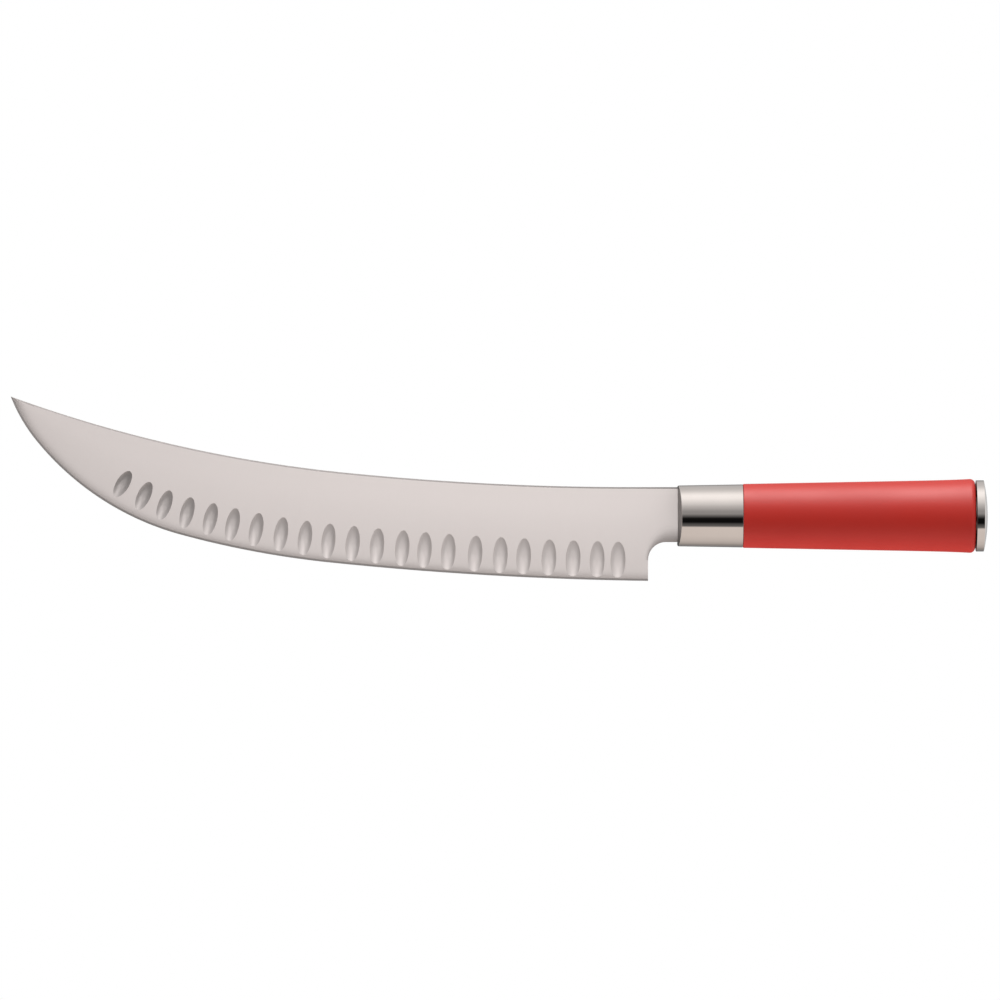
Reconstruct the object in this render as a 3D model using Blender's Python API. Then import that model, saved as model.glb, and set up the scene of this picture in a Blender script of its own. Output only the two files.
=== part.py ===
"""A butcher knife: an upswept blade with hollow-ground scallops on a round, through-bolted handle.

Lengths are in metres. +X runs along the handle's axis from the blade to the butt, and +Z points from the
cutting edge to the spine, so the edge faces down and the blade lies in the plane Y = 0. The origin is the
centre of the small flat on the end cap. Below, x is counted from the front of the ferrule, where the blade
enters the handle: an empty at the ferrule's front carries every piece and moves them all to the origin.

The blade's tang runs through the ferrule into the grip. A tie rod is forked over the tang's end. Its nut
pulls the tang back, so that the neck presses the ferrule onto the grip. The end cap hides the nut.
"""

import math

import bmesh
import bpy
from mathutils import Matrix, Vector

# Gap between pieces that touch on the real knife
FIT = 0.0003

# Blade outline, seen from the side
BLADE_LENGTH = 0.2600
SPINE_HEIGHT = 0.0112
SPINE_STRAIGHT = 0.0176
SPINE_REAR_RADIUS = 1.117
SPINE_REAR_ARC = 0.1135
SPINE_FRONT_RADIUS = 0.538
HEEL_SETBACK = 0.01185
HEEL_DROP = 0.0253
HEEL_ANGLE = math.radians(0.63)
BELLY_RADIUS = 1.372
BELLY_ARC = 0.124
SWEEP_RADIUS = 0.357
SWEEP_ARC = 0.0625
NECK_DROP = 0.0101
CHOIL_RADIUS = 0.0070
NECK_ROUND_WIDTH = 0.0011
NECK_ROUND_HEIGHT = 0.0016
# Share of the neck's rounding that is left where the choil meets the heel
HEEL_ROUND_SHARE = 0.03

# Blade thickness
STOCK = 0.0025
TIP_STOCK = 0.0010
TAPER_START = 0.060
SPINE_CHAMFER = 0.00025
LAND_HEIGHT = 0.0090
SHOULDER_THICKNESS = 0.0004
BEVEL_HEIGHT = 0.0007
GRIND_POWER = 1.8
PLUNGE_START = 0.0105
PLUNGE_END = 0.0020

# Scallops: their tops keep one distance from the edge, and they get shorter towards the tip
SCALLOP_PITCH = 0.00965
SCALLOP_HEEL_PITCH = 0.00810
SCALLOP_HEEL_CLEAR = 0.01185
SCALLOP_TIP_CLEAR = 0.055
SCALLOP_TOP = 0.0149
SCALLOP_HEEL_LENGTH = 0.0136
SCALLOP_TIP_LENGTH = 0.0110
SCALLOP_WIDTH = 0.0054
SCALLOP_DEPTH = 0.00036
# How far the wheel's form reaches past the scallop's rim, as a share of its half width
SCALLOP_REACH = 1.35
SCALLOP_SIDES = 18
SCALLOP_RINGS = 3

# Tang and tie rod
TANG_HEIGHT = 0.0150
TANG_REAR_HEIGHT = 0.0090
TAIL_HEIGHT = 0.0052
TAIL_LENGTH = 0.0100
TANG_LENGTH = 0.0580
ROD_RADIUS = 0.0030
ROD_FORK = 0.0085
ROD_BEYOND_NUT = 0.0027
ROD_CHAMFER = 0.0005

# Ferrule
FERRULE_LENGTH = 0.0252
FERRULE_FRONT_RADIUS = 0.01185
FERRULE_REAR_RADIUS = 0.01228
FERRULE_WALL = 0.0013
NOSE_WALL = 0.0030
NOSE_SETBACK = 0.00175
NOSE_ROUND = 0.0004
SEAT_DEPTH = 0.0012
FERRULE_CHAMFER = 0.00015

# Grip
GRIP_LENGTH = 0.0901
GRIP_FRONT_RADIUS = 0.01246
GRIP_TAPER = 0.00163
GRIP_FLARE = 0.00030
GRIP_FLARE_POWER = 12
GRIP_FRONT_ROUND = 0.0003
GRIP_REAR_ROUND = 0.0020
SPIGOT_LENGTH = 0.0080
SPIGOT_CHAMFER = 0.0004

# End cap and the fastening under it
CAP_GAP = 0.0004
CAP_RADIUS = 0.01387
CAP_SIDE = 0.0030
CAP_DOME = 0.0014
CAP_FLAT_RADIUS = 0.0040
CAP_ROUND = 0.0003
STEM_RADIUS = 0.0077
STEM_BORE = 0.0050
STEM_LENGTH = 0.0125
CAP_FLOOR = 0.0045
NUT_CLEAR = 0.0007
SEAL_WIDTH = 0.0024
SEAL_THICKNESS = 0.0017
WASHER_RADIUS = 0.0074
WASHER_THICKNESS = 0.0012
NUT_FLATS = 0.0100
NUT_THICKNESS = 0.0050
NUT_CHAMFER_ANGLE = math.radians(30)

# Facets
VISIBLE_SIDES = 64
HIDDEN_SIDES = 40
EDGE_STATIONS = 46
EDGE_CROWDING = 0.45
PLUNGE_STATIONS = 4
GRIND_ROWS = 4
ARC_STEPS = 8
DOME_STEPS = 5
ROUND_STEPS = 4

# Places along the handle, from the ferrule's front
GRIP_FRONT = FERRULE_LENGTH + FIT
GRIP_REAR = GRIP_FRONT + GRIP_LENGTH
GRIP_REAR_RADIUS = GRIP_FRONT_RADIUS + GRIP_TAPER + GRIP_FLARE
CAP_BACK = GRIP_REAR + CAP_GAP
HANDLE_LENGTH = CAP_BACK + CAP_SIDE + CAP_DOME
NECK_END = SEAT_DEPTH - FIT
TAIL_START = TANG_LENGTH - TAIL_LENGTH
FERRULE_BORE_RADIUS = FERRULE_REAR_RADIUS - FERRULE_WALL
FERRULE_BORE_START = NOSE_SETBACK + NOSE_WALL
SPIGOT_FRONT = GRIP_FRONT - SPIGOT_LENGTH
STEM_FRONT = CAP_BACK - STEM_LENGTH
STEM_BORE_END = CAP_BACK + CAP_SIDE - CAP_FLOOR
NUT_REAR = STEM_FRONT - NUT_CLEAR
NUT_FRONT = NUT_REAR - NUT_THICKNESS
WASHER_REAR = NUT_FRONT - FIT
WASHER_FRONT = WASHER_REAR - WASHER_THICKNESS
WELL_FLOOR = WASHER_FRONT - FIT
WELL_RADIUS = STEM_RADIUS + FIT
ROD_BORE_RADIUS = ROD_RADIUS + FIT
ROD_REAR = NUT_REAR + ROD_BEYOND_NUT
SEAL_RADIUS = WELL_RADIUS + SEAL_WIDTH
SEAL_REAR = CAP_BACK - FIT
SEAL_FRONT = SEAL_REAR - SEAL_THICKNESS
CUTTER_REACH = 0.080


def smoothstep(value):
    """0 below 0, 1 above 1, and a smooth step between."""
    t = min(1.0, max(0.0, value))
    return t * t * (3 - 2 * t)


def spine_height(x):
    """Height of the spine over the handle's axis at x: a straight run, then two tangent arcs."""
    if x >= -SPINE_STRAIGHT:
        return SPINE_HEIGHT
    turned = SPINE_REAR_ARC / SPINE_REAR_RADIUS
    centre = Vector((-SPINE_STRAIGHT, SPINE_HEIGHT + SPINE_REAR_RADIUS))
    inward = Vector((math.sin(turned), math.cos(turned)))
    joint = centre - SPINE_REAR_RADIUS * inward
    radius = SPINE_REAR_RADIUS
    if x < joint.x:
        radius = SPINE_FRONT_RADIUS
        centre = joint + radius * inward
    return centre.y - math.sqrt(radius**2 - (x - centre.x) ** 2)


def heading_vectors(angle):
    """The way towards the tip and the way towards the spine, for an edge that rises at this angle."""
    return Vector((-math.cos(angle), math.sin(angle))), Vector((math.sin(angle), math.cos(angle)))


def along_arc(start, angle, radius, length):
    """The point and the angle after this length of an arc that curves towards the spine."""
    forward, inward = heading_vectors(angle)
    turn = length / radius
    point = start + forward * (radius * math.sin(turn)) + inward * (radius * (1 - math.cos(turn)))
    return point, angle + turn


def edge_arcs():
    """The cutting edge as (start, angle, radius, length) arcs from the heel. The last one ends at the tip."""
    heel = Vector((-HEEL_SETBACK, -HEEL_DROP))
    belly_end, belly_angle = along_arc(heel, HEEL_ANGLE, BELLY_RADIUS, BELLY_ARC)
    sweep_end, sweep_angle = along_arc(belly_end, belly_angle, SWEEP_RADIUS, SWEEP_ARC)
    tip = Vector((-BLADE_LENGTH, spine_height(-BLADE_LENGTH)))
    forward, inward = heading_vectors(sweep_angle)
    reach = tip - sweep_end
    tip_radius = reach.length_squared / (2 * inward.dot(reach))
    tip_arc = 2 * tip_radius * math.atan2(inward.dot(reach), forward.dot(reach))
    return [
        (heel, HEEL_ANGLE, BELLY_RADIUS, BELLY_ARC),
        (belly_end, belly_angle, SWEEP_RADIUS, SWEEP_ARC),
        (sweep_end, sweep_angle, tip_radius, tip_arc),
    ]


EDGE_ARCS = edge_arcs()
EDGE_LENGTH = sum(arc[3] for arc in EDGE_ARCS)


def edge_at(s):
    """The edge's point and angle at this distance from the heel; behind the heel it runs straight on."""
    if s < 0:
        heel, angle, _, _ = EDGE_ARCS[0]
        return heel + heading_vectors(angle)[0] * s, angle
    for start, angle, radius, length in EDGE_ARCS[:-1]:
        if s <= length:
            return along_arc(start, angle, radius, s)
        s -= length
    start, angle, radius, _ = EDGE_ARCS[-1]
    return along_arc(start, angle, radius, s)


def blade_height(s):
    """How far the spine is from the edge at s, square to the edge."""
    foot, angle = edge_at(s)
    inward = heading_vectors(angle)[1]
    low, high = 0.0, BLADE_LENGTH
    while high - low > 1e-8:
        middle = (low + high) / 2
        point = foot + inward * middle
        if point.y < spine_height(point.x):
            low = middle
        else:
            high = middle
    return low


def spine_half_thickness(s, height):
    """Half the spine's thickness: full stock at the handle, tapering towards the tip."""
    share = (s - TAPER_START) / (EDGE_LENGTH - TAPER_START)
    tapered = STOCK + (TIP_STOCK - STOCK) * min(1.0, max(0.0, share))
    return min(tapered / 2, 0.35 * height)


def half_thickness(s, distance):
    """Half the blade's thickness at s, this far from the edge: flat land, convex grind and bevel."""
    height = blade_height(s)
    full = spine_half_thickness(s, height)
    shoulder = min(SHOULDER_THICKNESS / 2, full / 2)
    bevel = min(BEVEL_HEIGHT, height / 3)
    land = min(LAND_HEIGHT, height / 3)
    if distance <= bevel:
        return shoulder * distance / bevel
    if distance >= height - land:
        return full
    fall = (height - land - distance) / (height - land - bevel)
    ground = shoulder + (full - shoulder) * (1 - fall**GRIND_POWER)
    x = edge_at(s)[0].x
    plunge = smoothstep((x + PLUNGE_START) / (PLUNGE_START - PLUNGE_END))
    return ground + (full - ground) * plunge


def section(s, x_shift=0.0):
    """One cross-section of the blade, square to the edge, as a ring from spine corner to spine corner."""
    foot, angle = edge_at(s)
    inward = heading_vectors(angle)[1]
    height = blade_height(s)
    full = spine_half_thickness(s, height)
    chamfer = min(SPINE_CHAMFER, full / 2)
    bevel = min(BEVEL_HEIGHT, height / 3)
    land = min(LAND_HEIGHT, height / 3)
    side = [(height, full - chamfer), (height - chamfer, full)]
    for row in range(GRIND_ROWS + 1):
        distance = height - land - (height - land - bevel) * row / GRIND_ROWS
        # The last row is the bevel's shoulder, just inside the grind
        side.append((distance, half_thickness(s, distance + 1e-7)))
    ring = []
    for y_side, rows in ((-1, side), (0, [(0.0, 0.0)]), (1, side[::-1])):
        for distance, half in rows:
            point = foot + inward * distance
            ring.append(Vector((point.x + x_shift, y_side * half, point.y)))
    return ring


def loft(name, rings, end_point=None):
    """A closed mesh through rings of equally many points, its last ring capped or drawn to a point."""
    bm = bmesh.new()
    made = [[bm.verts.new(point) for point in ring] for ring in rings]
    for first, second in zip(made, made[1:]):
        for i in range(len(first)):
            j = (i + 1) % len(first)
            bm.faces.new((first[i], first[j], second[j], second[i]))
    bm.faces.new(made[0])
    if end_point is None:
        bm.faces.new(made[-1])
    else:
        apex = bm.verts.new(end_point)
        for i, vert in enumerate(made[-1]):
            bm.faces.new((vert, made[-1][(i + 1) % len(made[-1])], apex))
    return mesh_object(name, bm)


def mesh_object(name, bm):
    """Writes the bmesh to a new object whose faces point outwards."""
    bmesh.ops.recalc_face_normals(bm, faces=bm.faces)
    mesh = bpy.data.meshes.new(name)
    bm.to_mesh(mesh)
    bm.free()
    made = bpy.data.objects.new(name, mesh)
    bpy.context.scene.collection.objects.link(made)
    return made


def turned(name, profile, sides=VISIBLE_SIDES):
    """A solid of revolution about the X axis, from the closed outline of half its section."""
    bm = bmesh.new()
    verts = [bm.verts.new((x, 0, radius)) for x, radius in profile]
    for i, vert in enumerate(verts):
        bm.edges.new((vert, verts[(i + 1) % len(verts)]))
    bmesh.ops.spin(
        bm, geom=bm.verts[:] + bm.edges[:], axis=(1, 0, 0), cent=(0, 0, 0),
        angle=math.tau, steps=sides, use_merge=True,
    )
    on_axis = [f for f in bm.faces if all(math.hypot(v.co.y, v.co.z) < 1e-7 for v in f.verts)]
    bmesh.ops.delete(bm, geom=on_axis, context="FACES")
    bmesh.ops.remove_doubles(bm, verts=bm.verts, dist=1e-6)
    return mesh_object(name, bm)


def prism(name, outline, low, high, axis="Y"):
    """An outline of (x, z) points extruded along Y, or of (y, z) points extruded along X."""
    bm = bmesh.new()
    if axis == "Y":
        base = [bm.verts.new((a, low, b)) for a, b in outline]
        way = Vector((0, high - low, 0))
    else:
        base = [bm.verts.new((low, a, b)) for a, b in outline]
        way = Vector((high - low, 0, 0))
    face = bm.faces.new(base)
    raised = bmesh.ops.extrude_face_region(bm, geom=[face])["geom"]
    bmesh.ops.translate(bm, verts=[v for v in raised if isinstance(v, bmesh.types.BMVert)], vec=way)
    return mesh_object(name, bm)


def block(name, low, high):
    """A box between two corners."""
    outline = [(low[0], low[2]), (high[0], low[2]), (high[0], high[2]), (low[0], high[2])]
    return prism(name, outline, low[1], high[1])


def combine(target, operation, tool):
    """Adds a Boolean with a helper that is itself left out of the model."""
    modifier = target.modifiers.new(tool.name, "BOOLEAN")
    modifier.operation = operation
    modifier.object = tool
    modifier.solver = "EXACT"
    tool.hide_render = True
    tool.display_type = "WIRE"


def quarter(centre, radius_x, radius_z, start, end, steps=ARC_STEPS):
    """Points along a circle's or an ellipse's arc about a centre, between two angles in degrees."""
    points = []
    for i in range(steps + 1):
        angle = math.radians(start + (end - start) * i / steps)
        points.append((centre[0] + radius_x * math.cos(angle), centre[1] + radius_z * math.sin(angle)))
    return points


def steel(name, colour, roughness):
    """A bare metal finish."""
    return finish(name, colour, roughness, metallic=1.0)


def finish(name, colour, roughness, metallic=0.0):
    """A plain Principled material."""
    material = bpy.data.materials.new(name)
    material.use_nodes = True
    shader = material.node_tree.nodes["Principled BSDF"]
    shader.inputs["Base Color"].default_value = (*colour, 1)
    shader.inputs["Roughness"].default_value = roughness
    shader.inputs["Metallic"].default_value = metallic
    return material


def tang_outline(grow):
    """The tang's outline above the axis as (x, z), grown by a clearance, from the neck to its end."""
    return [
        (NECK_END, TANG_HEIGHT / 2 + grow),
        (TAIL_START + grow, TANG_REAR_HEIGHT / 2 + grow),
        (TAIL_START + grow, TAIL_HEIGHT / 2 + grow),
        (TANG_LENGTH + grow, TAIL_HEIGHT / 2 + grow),
    ]


def choil_centre():
    """Centre and radius of the arc between the heel and the neck's underside."""
    radius = min(CHOIL_RADIUS, 0.9 * HEEL_SETBACK)
    return (-HEEL_SETBACK + radius, -NECK_DROP - radius), radius


def blank_waste():
    """What is cut from the blade's blank: the choil and all below the neck and tang, and all above it."""
    centre, radius = choil_centre()
    tang = tang_outline(0)
    rear = TANG_LENGTH + CUTTER_REACH
    tail = (rear, TAIL_HEIGHT / 2)
    lower = [(-HEEL_SETBACK, -CUTTER_REACH)]
    lower += quarter(centre, radius, radius, 180, 90)
    lower += [(NECK_END, -NECK_DROP)]
    lower += [(x, -z) for x, z in tang[:-1]]
    lower += [(tail[0], -tail[1]), (rear, -CUTTER_REACH)]
    upper = [(NECK_END, CUTTER_REACH), *tang[:-1], tail, (rear, CUTTER_REACH)]
    reach = CUTTER_REACH
    return [prism("waste_below", lower, -reach, reach), prism("waste_above", upper, -reach, reach)]


def choil_path():
    """Stations along the neck's underside and the choil: a point, the way out of the metal, a scale."""
    centre, radius = choil_centre()
    path = []
    for x in (NECK_END + FIT, -PLUNGE_END, centre[0]):
        path.append((Vector((x, -NECK_DROP)), Vector((0, -1)), 1.0))
    for i in range(1, ARC_STEPS + 1):
        angle = math.radians(90 + 90 * i / ARC_STEPS)
        way_out = -Vector((math.cos(angle), math.sin(angle)))
        scale = 1 + (HEEL_ROUND_SHARE - 1) * smoothstep(i / ARC_STEPS)
        path.append((Vector(centre) - way_out * radius, way_out, scale))
    return path


def corner_waste(side):
    """What rounds one corner of the neck's underside, less and less of it round the choil."""
    heel, angle, _, _ = EDGE_ARCS[0]
    forward, inward = heading_vectors(angle)
    rings = []
    for point, way_out, scale in choil_path():
        half = half_thickness(forward.dot(point - heel), inward.dot(point - heel))
        width, height = NECK_ROUND_WIDTH * scale, NECK_ROUND_HEIGHT * scale
        arc = [Vector(at) for at in quarter((half - width, -height), width, height, 90, 0, ROUND_STEPS)]
        # The first and last facets run on past the faces that they meet
        arc[0] += (arc[0] - arc[1]) * 0.5
        arc[-1] += (arc[-1] - arc[-2]) * 0.5
        reach = NECK_ROUND_HEIGHT
        corner = [(half + reach, arc[-1].y), (half + reach, reach), (arc[0].x, reach)]
        ring = []
        for y, out in [*arc, *corner]:
            at = point + way_out * out
            ring.append(Vector((at.x, side * y, at.y)))
        rings.append(ring)
    return loft("corner_waste", rings)


def scallop_tool():
    """The grinding wheel's form for one scallop: a shallow bowl from z = 0, opening along +Z."""
    bm = bmesh.new()
    profile = []
    for i in range(SCALLOP_RINGS + 1):
        share = SCALLOP_REACH * i / SCALLOP_RINGS
        profile.append(bm.verts.new((share, 0, SCALLOP_DEPTH * share**2)))
    for first, second in zip(profile, profile[1:]):
        bm.edges.new((first, second))
    bmesh.ops.spin(
        bm, geom=bm.verts[:] + bm.edges[:], axis=(0, 0, 1), cent=(0, 0, 0),
        angle=math.tau, steps=SCALLOP_SIDES, use_merge=True,
    )
    bmesh.ops.remove_doubles(bm, verts=bm.verts, dist=1e-7)
    bmesh.ops.holes_fill(bm, edges=[e for e in bm.edges if e.is_boundary])
    bmesh.ops.scale(bm, vec=(SCALLOP_WIDTH / 2, SCALLOP_HEEL_LENGTH / 2, 1), verts=bm.verts)
    bmesh.ops.recalc_face_normals(bm, faces=bm.faces)
    mesh = bpy.data.meshes.new("scallop_wheel")
    bm.to_mesh(mesh)
    bm.free()
    return mesh


def scallop_stations():
    """Distances from the heel, along the edge, of the scallops that the photographed side has."""
    stations = [SCALLOP_HEEL_CLEAR]
    s = SCALLOP_HEEL_CLEAR + SCALLOP_HEEL_PITCH
    while s < EDGE_LENGTH - SCALLOP_TIP_CLEAR:
        stations.append(s)
        s += SCALLOP_PITCH
    return stations


def scallop_frame(s, side):
    """Where the wheel sits for the scallop at s, on the side facing -Y (-1) or +Y (1)."""
    foot, angle = edge_at(s)
    inward = heading_vectors(angle)[1]
    length = SCALLOP_HEEL_LENGTH + (SCALLOP_TIP_LENGTH - SCALLOP_HEEL_LENGTH) * s / EDGE_LENGTH
    ends = []
    for distance in (SCALLOP_TOP - length, SCALLOP_TOP):
        point = foot + inward * distance
        ends.append(Vector((point.x, side * half_thickness(s, distance), point.y)))
    along = (ends[1] - ends[0]).normalized()
    across = along.cross(Vector((0, side, 0))).normalized()
    outward = across.cross(along)
    offset = SCALLOP_TOP - length / 2
    middle = foot + inward * offset
    place = Vector((middle.x, side * half_thickness(s, offset), middle.y)) - outward * SCALLOP_DEPTH
    axes = Matrix((across, along, outward)).transposed().to_4x4()
    return Matrix.Translation(place) @ axes @ Matrix.Diagonal((1, length / SCALLOP_HEEL_LENGTH, 1, 1))


def scallop_cutters():
    """All scallops of both sides in one helper, those of the far side between those of the near side."""
    wheel = scallop_tool()
    bm = bmesh.new()
    stations = scallop_stations()
    far_side = [(a + b) / 2 for a, b in zip(stations, stations[1:])]
    for side, places in ((-1, stations), (1, far_side)):
        for s in places:
            placed = wheel.copy()
            placed.transform(scallop_frame(s, side))
            bm.from_mesh(placed)
            bpy.data.meshes.remove(placed)
    bpy.data.meshes.remove(wheel)
    return mesh_object("scallop_wheels", bm)


def blade_stations():
    """Distances from the heel of the blade's cross-sections, from inside the ferrule to near the tip."""
    behind = HEEL_SETBACK + 2 * PLUNGE_END
    plunge = PLUNGE_START - PLUNGE_END
    stations = [-behind]
    for i in range(PLUNGE_STATIONS + 1):
        stations.append(-HEEL_SETBACK + PLUNGE_END + plunge * i / PLUNGE_STATIONS)
    # Closer together towards the tip, where the edge curves most
    for i in range(EDGE_STATIONS):
        share = i / EDGE_STATIONS
        stations.append(EDGE_LENGTH * share * (1 + EDGE_CROWDING * (1 - share)))
    return stations


def make_blade():
    """The blade with its tang: lofted, cut to its outline, its neck rounded and its scallops ground."""
    stations = blade_stations()
    rings = [section(stations[0], TANG_LENGTH + 2 * PLUNGE_END), *[section(s) for s in stations]]
    tip = edge_at(EDGE_LENGTH)[0]
    blade = loft("blade", rings, (tip.x, 0, tip.y))
    for waste in blank_waste():
        combine(blade, "DIFFERENCE", waste)
    reach = CUTTER_REACH
    combine(blade, "DIFFERENCE", block("tail_end", (TANG_LENGTH, -reach, -reach), (2 * reach, reach, reach)))
    for side in (-1, 1):
        combine(blade, "DIFFERENCE", corner_waste(side))
    combine(blade, "DIFFERENCE", scallop_cutters())
    return blade


def tang_slot(name, front, rear):
    """A helper that clears the tang: its outline grown by the fit, between two places on the axis."""
    half = STOCK / 2 + FIT
    upper = tang_outline(FIT)
    upper[0] = (front, upper[0][1])
    upper[-1] = (rear, upper[-1][1])
    outline = upper + [(x, -z) for x, z in reversed(upper)]
    return prism(name, outline, -half, half)


def make_ferrule():
    """The steel sleeve before the grip. Its nose falls back on both sides of a seat for the neck."""
    front, rear, bore = FERRULE_FRONT_RADIUS, FERRULE_REAR_RADIUS, FERRULE_BORE_RADIUS
    profile = [(0, 0), *quarter((NOSE_ROUND, front - NOSE_ROUND), NOSE_ROUND, NOSE_ROUND, 180, 90, 3)]
    profile += [
        (FERRULE_LENGTH - FERRULE_CHAMFER, rear),
        (FERRULE_LENGTH, rear - FERRULE_CHAMFER),
        (FERRULE_LENGTH, bore + FERRULE_CHAMFER),
        (FERRULE_LENGTH - FERRULE_CHAMFER, bore),
        (FERRULE_BORE_START, bore),
        (FERRULE_BORE_START, 0),
    ]
    ferrule = turned("ferrule", profile)
    reach = 2 * front
    for side in (-1, 1):
        fall = NOSE_SETBACK / front
        outline = [(-reach, 0), (0, 0), (fall * reach, side * reach), (-reach, side * reach)]
        facet = prism("nose_facet", outline, -reach, reach)
        # The outline was laid in X and Z, so a quarter turn about X puts it in X and Y
        facet.data.transform(Matrix.Rotation(math.radians(-90), 4, "X"))
        combine(ferrule, "DIFFERENCE", facet)
    half = STOCK / 2 + FIT
    seat_low, seat_high = -NECK_DROP - FIT, SPINE_HEIGHT + FIT
    tang_high = TANG_HEIGHT / 2 + FIT
    outline = [
        (-reach, seat_low),
        (SEAT_DEPTH, seat_low),
        (SEAT_DEPTH, -tang_high),
        (FERRULE_BORE_START + FIT, -tang_high),
        (FERRULE_BORE_START + FIT, tang_high),
        (SEAT_DEPTH, tang_high),
        (SEAT_DEPTH, seat_high),
        (-reach, seat_high),
    ]
    combine(ferrule, "DIFFERENCE", prism("neck_seat", outline, -half, half))
    return ferrule


def make_tang_bush():
    """The moulded plug that centres the tang in the ferrule and closes the slot behind the nose."""
    front = FERRULE_BORE_START + FIT
    rear = SPIGOT_FRONT - FIT
    radius = FERRULE_BORE_RADIUS - FIT
    profile = [
        (front, 0),
        (front, radius - SPIGOT_CHAMFER),
        (front + SPIGOT_CHAMFER, radius),
        (rear, radius),
        (rear, 0),
    ]
    bush = turned("tang_bush", profile)
    combine(bush, "DIFFERENCE", tang_slot("bush_slot", front - FIT, rear + TANG_LENGTH))
    return bush


def grip_radius(share):
    """The grip's radius at a share of its length: a straight taper that flares at the butt."""
    return GRIP_FRONT_RADIUS + GRIP_TAPER * share + GRIP_FLARE * share**GRIP_FLARE_POWER


def make_grip():
    """The red moulded grip: a spigot in front, a slot and a bore inside, and a well for the nut."""
    spigot = FERRULE_BORE_RADIUS - FIT
    body_end = GRIP_REAR - GRIP_REAR_ROUND
    profile = [
        (SPIGOT_FRONT, ROD_BORE_RADIUS),
        (SPIGOT_FRONT, spigot - SPIGOT_CHAMFER),
        (SPIGOT_FRONT + SPIGOT_CHAMFER, spigot),
        (GRIP_FRONT, spigot),
        (GRIP_FRONT, GRIP_FRONT_RADIUS - GRIP_FRONT_ROUND),
    ]
    # Closer together towards the flare
    for i in range(ARC_STEPS + 1):
        share = 1 - (1 - i / ARC_STEPS) ** 2
        x = GRIP_FRONT + GRIP_FRONT_ROUND + (body_end - GRIP_FRONT - GRIP_FRONT_ROUND) * share
        profile.append((x, grip_radius(share)))
    round_centre = (body_end, GRIP_REAR_RADIUS - GRIP_REAR_ROUND)
    profile += quarter(round_centre, GRIP_REAR_ROUND, GRIP_REAR_ROUND, 90, 0, 6)[1:]
    seal_seat = SEAL_FRONT - FIT
    profile += [
        (GRIP_REAR, SEAL_RADIUS + FIT),
        (seal_seat, SEAL_RADIUS + FIT),
        (seal_seat, WELL_RADIUS),
        (WELL_FLOOR, WELL_RADIUS),
        (WELL_FLOOR, ROD_BORE_RADIUS),
    ]
    grip = turned("grip", profile)
    combine(grip, "DIFFERENCE", tang_slot("grip_slot", SPIGOT_FRONT - FIT, TANG_LENGTH + FIT))
    return grip


def make_tie_rod():
    """The threaded rod whose forked front end is welded over the tang's tail. Its thread is left plain."""
    front = TANG_LENGTH - ROD_FORK
    profile = [
        (front, 0),
        (front, ROD_RADIUS - ROD_CHAMFER / 2),
        (front + ROD_CHAMFER / 2, ROD_RADIUS),
        (ROD_REAR - ROD_CHAMFER, ROD_RADIUS),
        (ROD_REAR, ROD_RADIUS - ROD_CHAMFER),
        (ROD_REAR, 0),
    ]
    rod = turned("tie_rod", profile, HIDDEN_SIDES)
    half = STOCK / 2 + FIT
    reach = 2 * ROD_RADIUS
    fork = block("fork_slot", (front - FIT, -half, -reach), (TANG_LENGTH + FIT, half, reach))
    combine(rod, "DIFFERENCE", fork)
    return rod


def make_washer():
    """The flat washer on the floor of the nut's well."""
    profile = [
        (WASHER_FRONT, ROD_BORE_RADIUS),
        (WASHER_FRONT, WASHER_RADIUS),
        (WASHER_REAR, WASHER_RADIUS),
        (WASHER_REAR, ROD_BORE_RADIUS),
    ]
    return turned("washer", profile, HIDDEN_SIDES)


def make_clamp_nut():
    """The hexagon nut, its corners turned down at both ends, bored over the rod's thread."""
    front, rear = NUT_FRONT, NUT_REAR
    flat = NUT_FLATS / 2
    corner = NUT_FLATS / math.sqrt(3)
    angles = [math.radians(60 * i) for i in range(6)]
    hexagon = [(corner * math.cos(angle), corner * math.sin(angle)) for angle in angles]
    nut = prism("clamp_nut", hexagon, front, rear, axis="X")
    fall = (corner - flat) * math.tan(NUT_CHAMFER_ANGLE)
    turning = [
        (front, 0),
        (front, flat),
        (front + 2 * fall, flat + 2 * (corner - flat)),
        (rear - 2 * fall, flat + 2 * (corner - flat)),
        (rear, flat),
        (rear, 0),
    ]
    combine(nut, "INTERSECT", turned("nut_chamfers", turning, HIDDEN_SIDES))
    ends = (front - FIT, rear + FIT)
    bore = [(ends[0], 0), (ends[0], ROD_BORE_RADIUS), (ends[1], ROD_BORE_RADIUS), (ends[1], 0)]
    combine(nut, "DIFFERENCE", turned("nut_bore", bore, HIDDEN_SIDES))
    return nut


def make_cap_seal():
    """The rubber ring in the grip's rear recess, round the end cap's stem."""
    low, high = WELL_RADIUS, SEAL_RADIUS
    corner = min(SEAL_WIDTH, SEAL_THICKNESS) / 4
    profile = quarter((SEAL_FRONT + corner, high - corner), corner, corner, 180, 90, 1)
    profile += quarter((SEAL_REAR - corner, high - corner), corner, corner, 90, 0, 1)
    profile += quarter((SEAL_REAR - corner, low + corner), corner, corner, 0, -90, 1)
    profile += quarter((SEAL_FRONT + corner, low + corner), corner, corner, -90, -180, 1)
    return turned("cap_seal", profile, HIDDEN_SIDES)


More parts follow.
